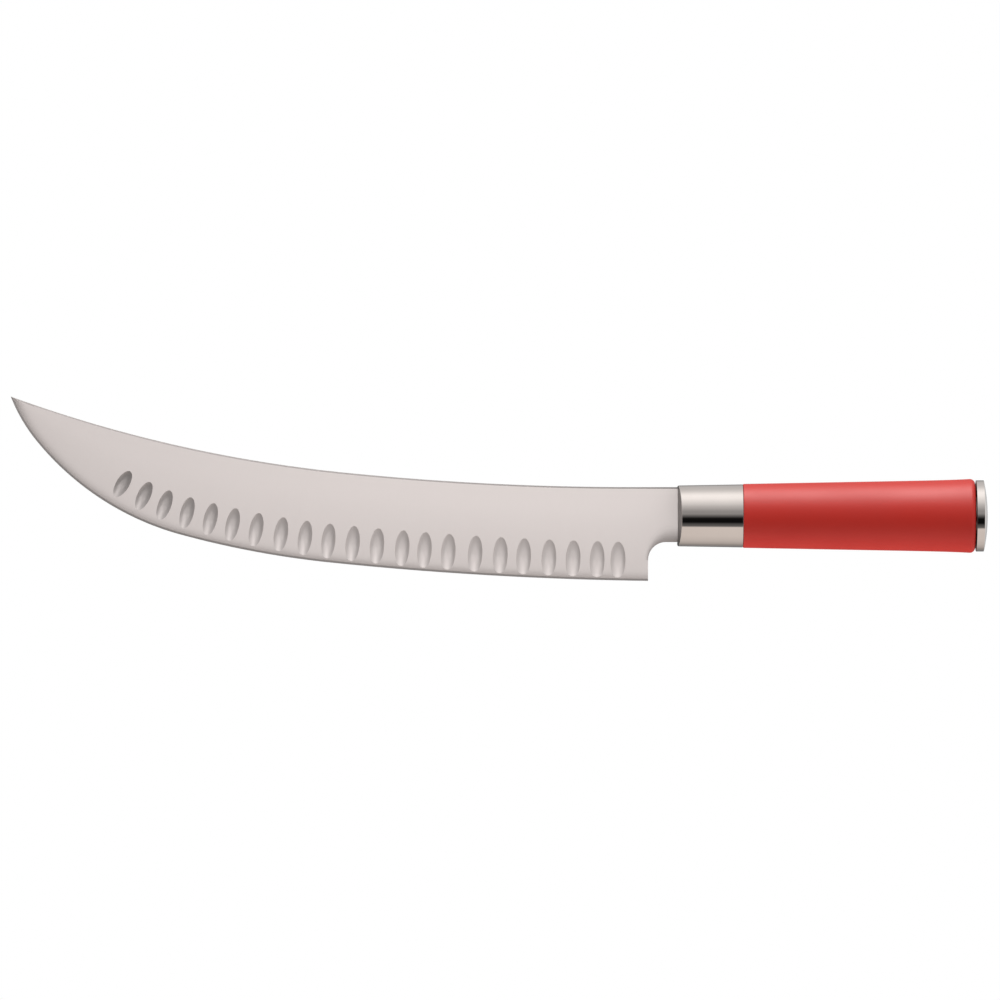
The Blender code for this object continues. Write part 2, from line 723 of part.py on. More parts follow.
def make_end_cap():
    """The steel cap: a shallow dome with a small flat, and a hollow stem that is pressed into the grip."""
    rim = CAP_BACK + CAP_SIDE
    top = rim + CAP_DOME
    profile = [
        (STEM_FRONT, STEM_BORE),
        (STEM_FRONT, STEM_RADIUS - SPIGOT_CHAMFER),
        (STEM_FRONT + SPIGOT_CHAMFER, STEM_RADIUS),
        (CAP_BACK, STEM_RADIUS),
        (CAP_BACK, CAP_RADIUS - CAP_ROUND),
        (CAP_BACK + CAP_ROUND, CAP_RADIUS),
    ]
    profile += quarter((rim - CAP_ROUND, CAP_RADIUS - CAP_ROUND), CAP_ROUND, CAP_ROUND, 90, 45, 2)
    edge_x, edge_radius = profile[-1]
    for i in range(1, DOME_STEPS + 1):
        radius = edge_radius + (CAP_FLAT_RADIUS - edge_radius) * i / DOME_STEPS
        fallen = (radius**2 - CAP_FLAT_RADIUS**2) / (edge_radius**2 - CAP_FLAT_RADIUS**2)
        profile.append((top - (top - edge_x) * fallen, radius))
    profile += [(top, 0), (STEM_BORE_END, 0), (STEM_BORE_END, STEM_BORE)]
    return turned("end_cap", profile)


def shade(made):
    """Smooth shading, with real corners kept sharp."""
    made.data.shade_smooth()
    made.data.set_sharp_from_angle(angle=math.radians(25))


def main():
    for old in list(bpy.data.objects):
        bpy.data.objects.remove(old)
    satin = steel("satin_blade_steel", (0.66, 0.62, 0.60), 0.38)
    polished = steel("polished_steel", (0.72, 0.70, 0.68), 0.08)
    plated = steel("zinc_plated_steel", (0.55, 0.55, 0.52), 0.35)
    red = finish("red_plastic", (0.50, 0.028, 0.022), 0.42)
    dark = finish("grey_moulded_plastic", (0.06, 0.06, 0.06), 0.55)
    rubber = finish("black_rubber", (0.012, 0.012, 0.012), 0.75)
    pieces = [
        (make_blade(), satin),
        (make_ferrule(), polished),
        (make_tang_bush(), dark),
        (make_grip(), red),
        (make_tie_rod(), plated),
        (make_washer(), plated),
        (make_clamp_nut(), plated),
        (make_cap_seal(), rubber),
        (make_end_cap(), polished),
    ]
    for made, material in pieces:
        made.data.materials.clear()
        made.data.materials.append(material)
        shade(made)
    # The helpers move with the pieces that they cut
    datum = bpy.data.objects.new("ferrule_front", None)
    for made in list(bpy.data.objects):
        if made != datum:
            made.parent = datum
    bpy.context.scene.collection.objects.link(datum)
    datum.location = (-HANDLE_LENGTH, 0, 0)


main()
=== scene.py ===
"""Looks of the butcher knife: a satin blade with ground hollows, a red grip and polished steel fittings.

Lengths are in metres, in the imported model's frame: +X runs from the blade to the butt, +Z points from the
cutting edge to the spine, and the camera looks along +Y. The blade and the turned pieces are first made
with x counted from the front of the ferrule, as in the part's source, and then moved to their place.
"""

import logging
import math
from dataclasses import dataclass
from enum import Enum
from functools import cache

import bmesh
import bpy
from mathutils import Matrix, Vector


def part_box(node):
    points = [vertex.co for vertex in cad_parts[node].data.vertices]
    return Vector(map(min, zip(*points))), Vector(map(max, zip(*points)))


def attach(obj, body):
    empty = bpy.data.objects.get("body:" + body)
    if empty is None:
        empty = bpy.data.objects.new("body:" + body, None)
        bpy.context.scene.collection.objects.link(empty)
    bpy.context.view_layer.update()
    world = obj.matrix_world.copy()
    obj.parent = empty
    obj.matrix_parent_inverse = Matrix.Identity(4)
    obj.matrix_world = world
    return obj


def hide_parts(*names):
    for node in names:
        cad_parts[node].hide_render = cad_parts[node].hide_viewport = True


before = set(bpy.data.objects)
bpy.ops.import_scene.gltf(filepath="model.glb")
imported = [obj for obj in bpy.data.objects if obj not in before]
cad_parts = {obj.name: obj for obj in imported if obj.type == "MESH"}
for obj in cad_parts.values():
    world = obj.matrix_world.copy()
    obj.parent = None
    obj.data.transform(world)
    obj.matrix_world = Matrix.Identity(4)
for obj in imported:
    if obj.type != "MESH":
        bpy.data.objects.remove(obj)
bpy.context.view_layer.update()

log = logging.getLogger("butcher_knife")

BODY = "root"
# The middle of the view, along the knife
CENTRE_X = -0.18981
# How far the ferrule's nose lies before the CAD one, and the gap between ferrule and grip
NOSE_AHEAD = 0.0004
SEAM = 0.0001
FULL_TURN = math.tau
QUARTER_TURN = math.pi / 2
# Points nearer than this are one
MERGE = 1e-7
# How near a vertex is to a ring, or to the bevel's shoulder, that it lies on
ON_RING = 1e-6
ON_SHOULDER = 2e-6
# A normal's x below which a face points to the blade
FACES_BLADE = -0.8
# Segments of each rounded corner
ROUND_STEPS = 4

Pair = tuple[float, float]
Colour = tuple[float, float, float]
Object, Material = bpy.types.Object, bpy.types.Material
Node, Socket, NodeTree = bpy.types.Node, bpy.types.NodeSocket, bpy.types.NodeTree
BMesh = bmesh.types.BMesh


class Slot(Enum):
    """The record's material slots."""

    BLADE = "satin_blade_steel"
    POLISHED = "polished_steel"
    GRIP = "red_plastic"
    BUSH = "grey_moulded_plastic"
    FASTENING = "zinc_plated_steel"
    SEAL = "black_rubber"


# Shader nodes


class Graph:
    """Adds and links the nodes of one node tree."""

    def __init__(self, tree: NodeTree) -> None:
        """Keeps the tree that the nodes go into."""
        self.tree = tree

    def feed(self, node: Node, inputs: dict) -> None:
        """Sets or links a node's inputs, given by name or number."""
        for key, value in inputs.items():
            if isinstance(value, Socket):
                self.tree.links.new(value, node.inputs[key])
            else:
                node.inputs[key].default_value = value

    def add(self, kind: str, inputs: dict | None = None, **settings: object) -> Node:
        """Adds a node.

        Args:
            kind: The node's type.
            inputs: Values or sockets for its inputs, by name or number.
            settings: The node's own properties.

        Returns:
            The new node.
        """
        node = self.tree.nodes.new(kind)
        for name, value in settings.items():
            setattr(node, name, value)
        self.feed(node, inputs or {})
        return node

    def place(self, effect: NodeTree, vector: Socket, values: dict[str, float]) -> Node:
        """Places a shared effect with its values for this finish, and returns its node."""
        return self.add("ShaderNodeGroup", {"Vector": vector, **values}, node_tree=effect)

    def attribute(self, name: str) -> Socket:
        """Reads a mask from the piece."""
        return self.add("ShaderNodeAttribute", attribute_name=name).outputs["Fac"]

    def on_object(self) -> Socket:
        """Reads the place on the piece."""
        return self.add("ShaderNodeTexCoord").outputs["Object"]

    def maths(self, operation: str, first: object, second: object = 0.0) -> Socket:
        """Adds a Math node and returns its result."""
        return self.add("ShaderNodeMath", {0: first, 1: second}, operation=operation).outputs[0]

    def times(self, first: Socket, second: object) -> Socket:
        """The product of two values."""
        return self.maths("MULTIPLY", first, second)

    def mean(self, first: Socket, second: Socket) -> Socket:
        """The mean of two values."""
        return self.times(self.maths("ADD", first, second), 0.5)

    def spread(self, value: object, low: float, high: float) -> Socket:
        """Maps a value from 0..1 to low..high and returns the result."""
        limits = {"Value": value, "To Min": low, "To Max": high}
        return self.add("ShaderNodeMapRange", limits).outputs["Result"]

    def soft_step(
        self, value: Socket, start: float, end: float, low: float = 0.0, high: float = 1.0
    ) -> Socket:
        """Maps a value from start..end to low..high, with a soft start and end, and returns the result."""
        limits = {"Value": value, "From Min": start, "From Max": end, "To Min": low, "To Max": high}
        return self.add("ShaderNodeMapRange", limits, interpolation_type="SMOOTHSTEP").outputs["Result"]

    def noise(self, vector: Socket, scale: object, detail: float, roughness: float = 0.5) -> Socket:
        """Adds noise and returns its value."""
        inputs = {"Vector": vector, "Scale": scale, "Detail": detail, "Roughness": roughness}
        return self.add("ShaderNodeTexNoise", inputs).outputs["Fac"]

    def bump(self, height: Socket, depth: float, strength: float) -> Socket:
        """Adds a bump and returns its normal."""
        inputs = {"Strength": strength, "Distance": depth, "Height": height}
        return self.add("ShaderNodeBump", inputs).outputs[0]

    def blend(self, share: object, first: object, second: object) -> Socket:
        """Mixes two colours by a share and returns the mixed colour."""
        first, second = (c if isinstance(c, Socket) else (*c, 1.0) for c in (first, second))
        inputs = {"Factor": share, 6: first, 7: second}
        return self.add("ShaderNodeMix", inputs, data_type="RGBA").outputs[2]

    def blend_values(self, share: Socket, first: object, second: object) -> Socket:
        """Mixes two values by a share and returns the mixed value."""
        return self.add("ShaderNodeMix", {"Factor": share, 2: first, 3: second}).outputs[0]

    def scale(self, colour: Socket, factor: object) -> Socket:
        """Darkens or lightens a colour by a factor and returns it."""
        return self.add("ShaderNodeVectorMath", {0: colour, "Scale": factor}, operation="SCALE").outputs[0]


class Effects:
    """The surface effects that several finishes share, each a node group that is built once."""

    @staticmethod
    def start(
        name: str, inputs: dict[str, float], outputs: tuple[str, ...]
    ) -> tuple[Graph, Node, Node]:
        """Starts a node group.

        Args:
            name: The group's name.
            inputs: The defaults of the plain values that it takes beside a vector.
            outputs: The names of its outputs, which are plain values.

        Returns:
            The group's graph, its input node and its output node.
        """
        tree = bpy.data.node_groups.new(name, "ShaderNodeTree")
        tree.interface.new_socket("Vector", in_out="INPUT", socket_type="NodeSocketVector")
        for label, default in inputs.items():
            socket = tree.interface.new_socket(label, in_out="INPUT", socket_type="NodeSocketFloat")
            socket.default_value = default
        for label in outputs:
            tree.interface.new_socket(label, in_out="OUTPUT", socket_type="NodeSocketFloat")
        graph = Graph(tree)
        return graph, graph.add("NodeGroupInput"), graph.add("NodeGroupOutput")

    @staticmethod
    @cache
    def drawn_lines() -> NodeTree:
        """Fine lines that a belt or a lathe leaves: they lie along y and z, one after the other along x."""
        graph, given, result = Effects.start(
            "drawn_lines", {"Across": 4000.0, "Along": 60.0}, ("Height", "Streaks")
        )
        parts = graph.add("ShaderNodeSeparateXYZ", {0: given.outputs["Vector"]}).outputs
        heights = []
        for coarseness in (1.0, 0.17):
            across = graph.times(given.outputs["Across"], coarseness)
            along = graph.times(given.outputs["Along"], math.sqrt(coarseness))
            scaled = {i: graph.times(parts[i], by) for i, by in enumerate((across, along, along))}
            stretched = graph.add("ShaderNodeCombineXYZ", scaled).outputs[0]
            heights.append(graph.noise(stretched, scale=1.0, detail=3.0, roughness=0.6))
        graph.feed(result, {"Height": graph.mean(*heights), "Streaks": heights[1]})
        return graph.tree

    @staticmethod
    @cache
    def moulded_grain() -> NodeTree:
        """The spark-eroded grain that a mould gives to plastic and rubber."""
        graph, given, result = Effects.start("moulded_grain", {"Per Metre": 3000.0}, ("Height",))
        vector, scale = given.outputs["Vector"], given.outputs["Per Metre"]
        cells = graph.add(
            "ShaderNodeTexVoronoi", {"Vector": vector, "Scale": scale, "Smoothness": 1.0}, feature="SMOOTH_F1"
        )
        height = graph.mean(cells.outputs["Distance"], graph.noise(vector, scale, detail=2.0))
        graph.feed(result, {"Height": height})
        return graph.tree

    @staticmethod
    @cache
    def soft_patches() -> NodeTree:
        """Broad, faint patches, as hands and wiping leave them."""
        graph, given, result = Effects.start("soft_patches", {"Per Metre": 40.0}, ("Mask",))
        noise = graph.noise(given.outputs["Vector"], given.outputs["Per Metre"], detail=4.0)
        graph.feed(result, {"Mask": graph.soft_step(noise, start=0.35, end=0.65)})
        return graph.tree


def start_material(name: str) -> tuple[Material, Graph, Node]:
    """Starts a node material.

    Args:
        name: The finish's name.

    Returns:
        The material, its graph and its Principled shader.
    """
    material = bpy.data.materials.new(name)
    material.use_nodes = True
    graph = Graph(material.node_tree)
    return material, graph, material.node_tree.nodes["Principled BSDF"]


# Finishes


@dataclass(frozen=True)
class SatinBladeSteel:
    """Steel drawn on a fine belt across the blade.

    The hollows are ground smoother than the flats and the bevel is honed. Painted shade darkens the
    hollows, the bevel a little, and the rims of the spine and of the neck's rounded corners.
    """

    name: str = "satin_blade_steel"
    colour: Colour = (0.76, 0.700, 0.680)
    streak_colour: Colour = (0.735, 0.675, 0.655)
    painted_hollow_shade: float = 0.40
    honed_painted_shade: float = 0.98
    painted_rim_shade: float = 0.10
    metallic: float = 0.85
    roughness: Pair = (0.50, 0.56)
    hollow_roughness: float = 0.45
    honed_roughness: float = 0.32
    lines_across: float = 5200.0
    lines_along: float = 90.0
    line_depth: float = 1.2e-6
    bump_strength: float = 0.5

    def material(self) -> Material:
        """Builds the material, whose lines follow the blade's map of distance along and from the edge."""
        material, graph, shader = start_material(self.name)
        placed = graph.add("ShaderNodeUVMap", uv_map=Blade.GRAIN_MAP).outputs[0]
        spacing = {"Across": self.lines_across, "Along": self.lines_along}
        lines = graph.place(Effects.drawn_lines(), placed, spacing).outputs
        colour = graph.blend(lines["Streaks"], self.streak_colour, self.colour)
        roughness = graph.spread(lines["Streaks"], *self.roughness)
        # Each mask darkens the colour with painted shade; the hollows' and the bevel's masks also set their
        # own roughness
        for mask, shade_left, smoother in (
            (Blade.HOLLOW_FINISH_AND_SHADE_MASK, self.painted_hollow_shade, self.hollow_roughness),
            (Blade.HONED_MASK, self.honed_painted_shade, self.honed_roughness),
            (Blade.RIM_SHADE_MASK, self.painted_rim_shade, None),
        ):
            share = graph.attribute(mask)
            colour = graph.scale(colour, graph.spread(share, 1.0, shade_left))
            if smoother is not None:
                roughness = graph.blend_values(share, roughness, smoother)
        normal = graph.bump(lines["Height"], self.line_depth, self.bump_strength)
        graph.feed(
            shader,
            {"Metallic": self.metallic, "Base Color": colour, "Roughness": roughness, "Normal": normal},
        )
        return material


@dataclass(frozen=True)
class TurnedSteel:
    """Steel turned on a lathe: mirror polished on the fittings, zinc plated on the fastening.

    Faces in the mask of milled faces are rougher, as milled and left unpolished, and darkened with painted
    shade.
    """

    MILLED_SHADE_MASK = "milled_faces_with_painted_shade"

    name: str
    colour: Colour
    dull_colour: Colour
    roughness: Pair
    lines_across: float = 9000.0
    lines_along: float = 12.0
    line_depth: float = 1.0e-7
    bump_strength: float = 0.5
    patches: float = 60.0
    milled_painted_shade: float = 0.25
    dull_roughness: float = 0.35

    def material(self) -> Material:
        """Builds the material, whose lines run round the X axis."""
        material, graph, shader = start_material(self.name)
        placed = graph.on_object()
        spacing = {"Across": self.lines_across, "Along": self.lines_along}
        lines = graph.place(Effects.drawn_lines(), placed, spacing)
        mask = graph.place(Effects.soft_patches(), placed, {"Per Metre": self.patches}).outputs["Mask"]
        normal = graph.bump(lines.outputs["Height"], self.line_depth, self.bump_strength)
        # Painted shade darkens the milled faces, which are also rougher
        dull = graph.attribute(self.MILLED_SHADE_MASK)
        shade_left = graph.spread(dull, 1.0, self.milled_painted_shade)
        colour = graph.scale(graph.blend(mask, self.colour, self.dull_colour), shade_left)
        roughness = graph.blend_values(dull, graph.spread(mask, *self.roughness), self.dull_roughness)
        graph.feed(
            shader, {"Metallic": 1.0, "Base Color": colour, "Roughness": roughness, "Normal": normal}
        )
        return material


@dataclass(frozen=True)
class MouldedFinish:
    """Moulded plastic or rubber: one colour, a fine grain and faint patches where hands have been."""

    name: str
    colour: Colour
    handled_colour: Colour
    roughness: Pair
    grain_per_metre: float = 3200.0
    grain_depth: float = 4.0e-6
    bump_strength: float = 0.6
    patches: float = 45.0
    specular: float = 0.5

    def material(self) -> Material:
        """Builds the material."""
        material, graph, shader = start_material(self.name)
        placed = graph.on_object()
        grain = graph.place(Effects.moulded_grain(), placed, {"Per Metre": self.grain_per_metre})
        mask = graph.place(Effects.soft_patches(), placed, {"Per Metre": self.patches}).outputs["Mask"]
        normal = graph.bump(grain.outputs["Height"], self.grain_depth, self.bump_strength)
        colour = graph.blend(mask, self.colour, self.handled_colour)
        roughness = graph.spread(mask, *self.roughness)
        graph.feed(
            shader,
            {
                "Specular IOR Level": self.specular, "Base Color": colour, "Roughness": roughness,
                "Normal": normal,
            },
        )
        return material


POLISHED_STEEL = TurnedSteel(
    "polished_steel", (0.715, 0.658, 0.622), (0.695, 0.638, 0.602), (0.045, 0.075)
)
ZINC_PLATE = TurnedSteel(
    "zinc_plated_steel", (0.56, 0.56, 0.53), (0.49, 0.49, 0.45), (0.30, 0.42),
    lines_across=2500.0, line_depth=2.0e-6, patches=400.0,
)
RED_PLASTIC = MouldedFinish(
    "red_plastic", (0.48, 0.018, 0.010), (0.465, 0.017, 0.0095), (0.48, 0.53), specular=0.26
)
GREY_PLASTIC = MouldedFinish(
    "grey_moulded_plastic", (0.065, 0.065, 0.066), (0.055, 0.055, 0.056), (0.50, 0.60), grain_depth=8.0e-6
)
BLACK_RUBBER = MouldedFinish(
    "black_rubber", (0.012, 0.012, 0.012), (0.015, 0.015, 0.014), (0.70, 0.80),
    grain_per_metre=2200.0, grain_depth=1.2e-5, specular=0.3,
)


# Making meshes


@dataclass(frozen=True)
class Corner:
    """One corner of a turned outline: its place along the axis, its radius and how far it is rounded."""

    x: float
    radius: float
    rounding: float = 0.0

    def has(self, vert: bmesh.types.BMVert) -> bool:
        """Whether a vertex lies on the ring that the corner makes."""
        off_axis = math.hypot(vert.co.y, vert.co.z)
        return abs(vert.co.x - self.x) < ON_RING and abs(off_axis - self.radius) < ON_RING


def smoothstep(value: float) -> float:
    """0 below 0, 1 above 1, and a smooth step between."""
    share = min(1.0, max(0.0, value))
    return share * share * (3 - 2 * share)


def mesh_object(name: str, bm: BMesh) -> Object:
    """Writes a bmesh to a new object.

    Args:
        name: The object's name.
        bm: The closed shape, which is freed.

    Returns:
        The object, with its faces pointing outwards.
    """
    bmesh.ops.recalc_face_normals(bm, faces=bm.faces)
    mesh = bpy.data.meshes.new(name)
    bm.to_mesh(mesh)
    bm.free()
    made = bpy.data.objects.new(name, mesh)
    bpy.context.scene.collection.objects.link(made)
    return made


def spin(bm: BMesh, path: list[bmesh.types.BMVert], axis: tuple[int, int, int], steps: int) -> None:
    """Joins vertices in a row and spins the row one full turn round an axis through the origin."""
    for first, second in zip(path, path[1:]):
        bm.edges.new((first, second))
    bmesh.ops.spin(
        bm, geom=bm.verts[:] + bm.edges[:], axis=axis, cent=(0, 0, 0), angle=FULL_TURN, steps=steps,
        use_merge=True,
    )


def turn(outline: list[Corner], steps: int) -> BMesh:
    """Spins an outline round the X axis.

    Args:
        outline: The closed outline of half the section.
        steps: Steps of the whole turn.

    Returns:
        The closed shape.
    """
    bm = bmesh.new()
    verts = [bm.verts.new((corner.x, 0, corner.radius)) for corner in outline]
    spin(bm, verts + verts[:1], (1, 0, 0), steps)
    on_axis = [f for f in bm.faces if all(math.hypot(v.co.y, v.co.z) < MERGE for v in f.verts)]
    bmesh.ops.delete(bm, geom=on_axis, context="FACES")
    bmesh.ops.remove_doubles(bm, verts=bm.verts, dist=ON_RING)
    bmesh.ops.recalc_face_normals(bm, faces=bm.faces)
    for corner in outline:
        if corner.rounding:
            ring = [e for e in bm.edges if all(corner.has(v) for v in e.verts)]
            round_edges(bm, ring, corner.rounding)
    return bm


def round_edges(bm: BMesh, edges: list[bmesh.types.BMEdge], width: float) -> None:
    """Rounds edges to a width."""
    bmesh.ops.bevel(
        bm, geom=edges, offset=width, offset_type="OFFSET", segments=ROUND_STEPS, profile=0.5,
        affect="EDGES", material=-1, clamp_overlap=False,
    )


def close_holes(bm: BMesh) -> None:
    """Fills every open rim."""
    bmesh.ops.holes_fill(bm, edges=[e for e in bm.edges if e.is_boundary])


def wrap(rings: list[list[Vector]]) -> BMesh:
    """Wraps a grid round a row of sections.

    Args:
        rings: The sections, all with as many points, the last of which meets the first.

    Returns:
        The closed shape.
    """
    columns, rows = len(rings) - 1, len(rings[0]) - 1
    bm = bmesh.new()
    bmesh.ops.create_grid(bm, x_segments=columns, y_segments=rows, size=0.5)
    for vert in bm.verts:
        ring = rings[round((vert.co.x + 0.5) * columns)]
        vert.co = ring[round((vert.co.y + 0.5) * rows)]
    bmesh.ops.remove_doubles(bm, verts=bm.verts, dist=MERGE)
    close_holes(bm)
    return bm


def block(name: str, low: Vector, high: Vector) -> Object:
    """A box between two corners, for cutting."""
    bm = bmesh.new()
    bmesh.ops.create_cube(bm, size=1.0)
    bmesh.ops.scale(bm, vec=high - low, verts=bm.verts)
    bmesh.ops.translate(bm, vec=(low + high) / 2, verts=bm.verts)
    return mesh_object(name, bm)


def prism(name: str, outline: list[Vector], half_width: float) -> Object:
    """An outline of (x, z) points extruded along Y to both sides, for cutting."""
    bm = bmesh.new()
    base = bm.faces.new([bm.verts.new((point.x, -half_width, point.y)) for point in outline])
    raised = bmesh.ops.extrude_face_region(bm, geom=[base])["geom"]
    lifted = [v for v in raised if isinstance(v, bmesh.types.BMVert)]
    bmesh.ops.translate(bm, verts=lifted, vec=(0, 2 * half_width, 0))
    return mesh_object(name, bm)


def cut(target: Object, tools: list[Object]) -> None:
    """Cuts closed shapes out of an object, and removes them.

    Args:
        target: The object that is cut, whose mesh is replaced by the cut one.
        tools: The shapes that are taken away.
    """
    for tool in tools:
        modifier = target.modifiers.new(tool.name, "BOOLEAN")
        modifier.operation = "DIFFERENCE"
        modifier.solver = "EXACT"
        modifier.object = tool
    depsgraph = bpy.context.evaluated_depsgraph_get()
    made = bpy.data.meshes.new_from_object(target.evaluated_get(depsgraph))
    before = target.data
    target.modifiers.clear()
    target.data = made
    bpy.data.meshes.remove(before)
    for tool in tools:
        spent = tool.data
        bpy.data.objects.remove(tool)
        bpy.data.meshes.remove(spent)


def move_along(piece: Object, x: float) -> None:
    """Moves a piece's mesh along the knife; its object stays at the origin."""
    piece.data.transform(Matrix.Translation((x, 0, 0)))


def mark_front_milled_and_shaded(piece: Object, share: float) -> None:
    """Marks the faces that point to the blade, by a share, as milled and rougher, and darkened with painted
    shade.
    """
    dull = piece.data.attributes.new(TurnedSteel.MILLED_SHADE_MASK, "FLOAT", "FACE")
    shares = [share * (face.normal.x < FACES_BLADE) for face in piece.data.polygons]
    dull.data.foreach_set("value", shares)


def shade(piece: Object, corner_angle: float, weighted: bool = False) -> None:
    """Shades a piece smoothly.

    Args:
        piece: The finished mesh object.
        corner_angle: Corners above this angle in degrees stay sharp.
        weighted: Whether the large faces keep their flat look beside their rounded corners.
    """
    piece.data.shade_smooth()
    piece.data.set_sharp_from_angle(angle=math.radians(corner_angle))
    if weighted:
        modifier = piece.modifiers.new("large_faces", "WEIGHTED_NORMAL")
        modifier.keep_sharp = True


def dress_node(node: str, material: Material) -> None:
    """Gives a CAD node that stays its material."""
    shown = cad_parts[node]
    if shown.material_slots:
        for place in shown.material_slots:
            place.material = material
    else:
        shown.data.materials.append(material)
    log.info("%s keeps its CAD shape", node)


@dataclass(frozen=True)
class Lamp:
    """A soft square lamp that is aimed at the knife: its place, its size and its power in watts.

    Its angle goes round the knife, with 0 towards the camera and 90 up.
    """

    name: str
    degrees: float
    size: float
    watts: float
    x: float = CENTRE_X
    distance: float = 1.8
    behind: bool = False


class Piece:
    """What the pieces share: the CAD node that each stands for, its slot, its finish and its own lamps."""

    NAME: str
    NODE: str
    SLOT: Slot
    FINISH: SatinBladeSteel | TurnedSteel | MouldedFinish
    # Corners above this angle in degrees aren't smoothed
    SHARP_ANGLE: float
    HIGHLIGHTS: tuple[Lamp, ...] = ()

    def turned(self, outline: list[Corner], steps: int) -> Object:
        """Makes a turned piece from its outline, in some steps round the X axis, and shades it."""
        piece = mesh_object(self.NAME, turn(outline, steps))
        shade(piece, self.SHARP_ANGLE, weighted=True)
        return piece

    def dress(self, piece: Object) -> None:
        """Gives the finished piece its material, and lets it ride and stand for its CAD node."""
        piece.data.materials.clear()
        piece.data.materials.append(self.FINISH.material())
        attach(piece, BODY)
        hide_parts(self.NODE)
        log.info("%s stands for %s: %d faces", piece.name, self.NODE, len(piece.data.polygons))


# Blade


@dataclass(frozen=True)
class Arc:
    """One arc of the cutting edge, which curves towards the spine."""

    start: Vector
    angle: float
    radius: float
    length: float

    @staticmethod
    def ways(angle: float) -> tuple[Vector, Vector]:
        """The ways towards the tip and towards the spine, where the edge rises at this angle."""
        return Vector((-math.cos(angle), math.sin(angle))), Vector((math.sin(angle), math.cos(angle)))

    def after(self, length: float) -> tuple[Vector, float]:
        """The point and the angle after some length of the arc."""
        forward, inward = self.ways(self.angle)
        bend = length / self.radius
        point = self.start + forward * (self.radius * math.sin(bend))
        return point + inward * (self.radius * (1 - math.cos(bend))), self.angle + bend

    def centre(self) -> Vector:
        """The arc's centre."""
        return self.start + self.ways(self.angle)[1] * self.radius


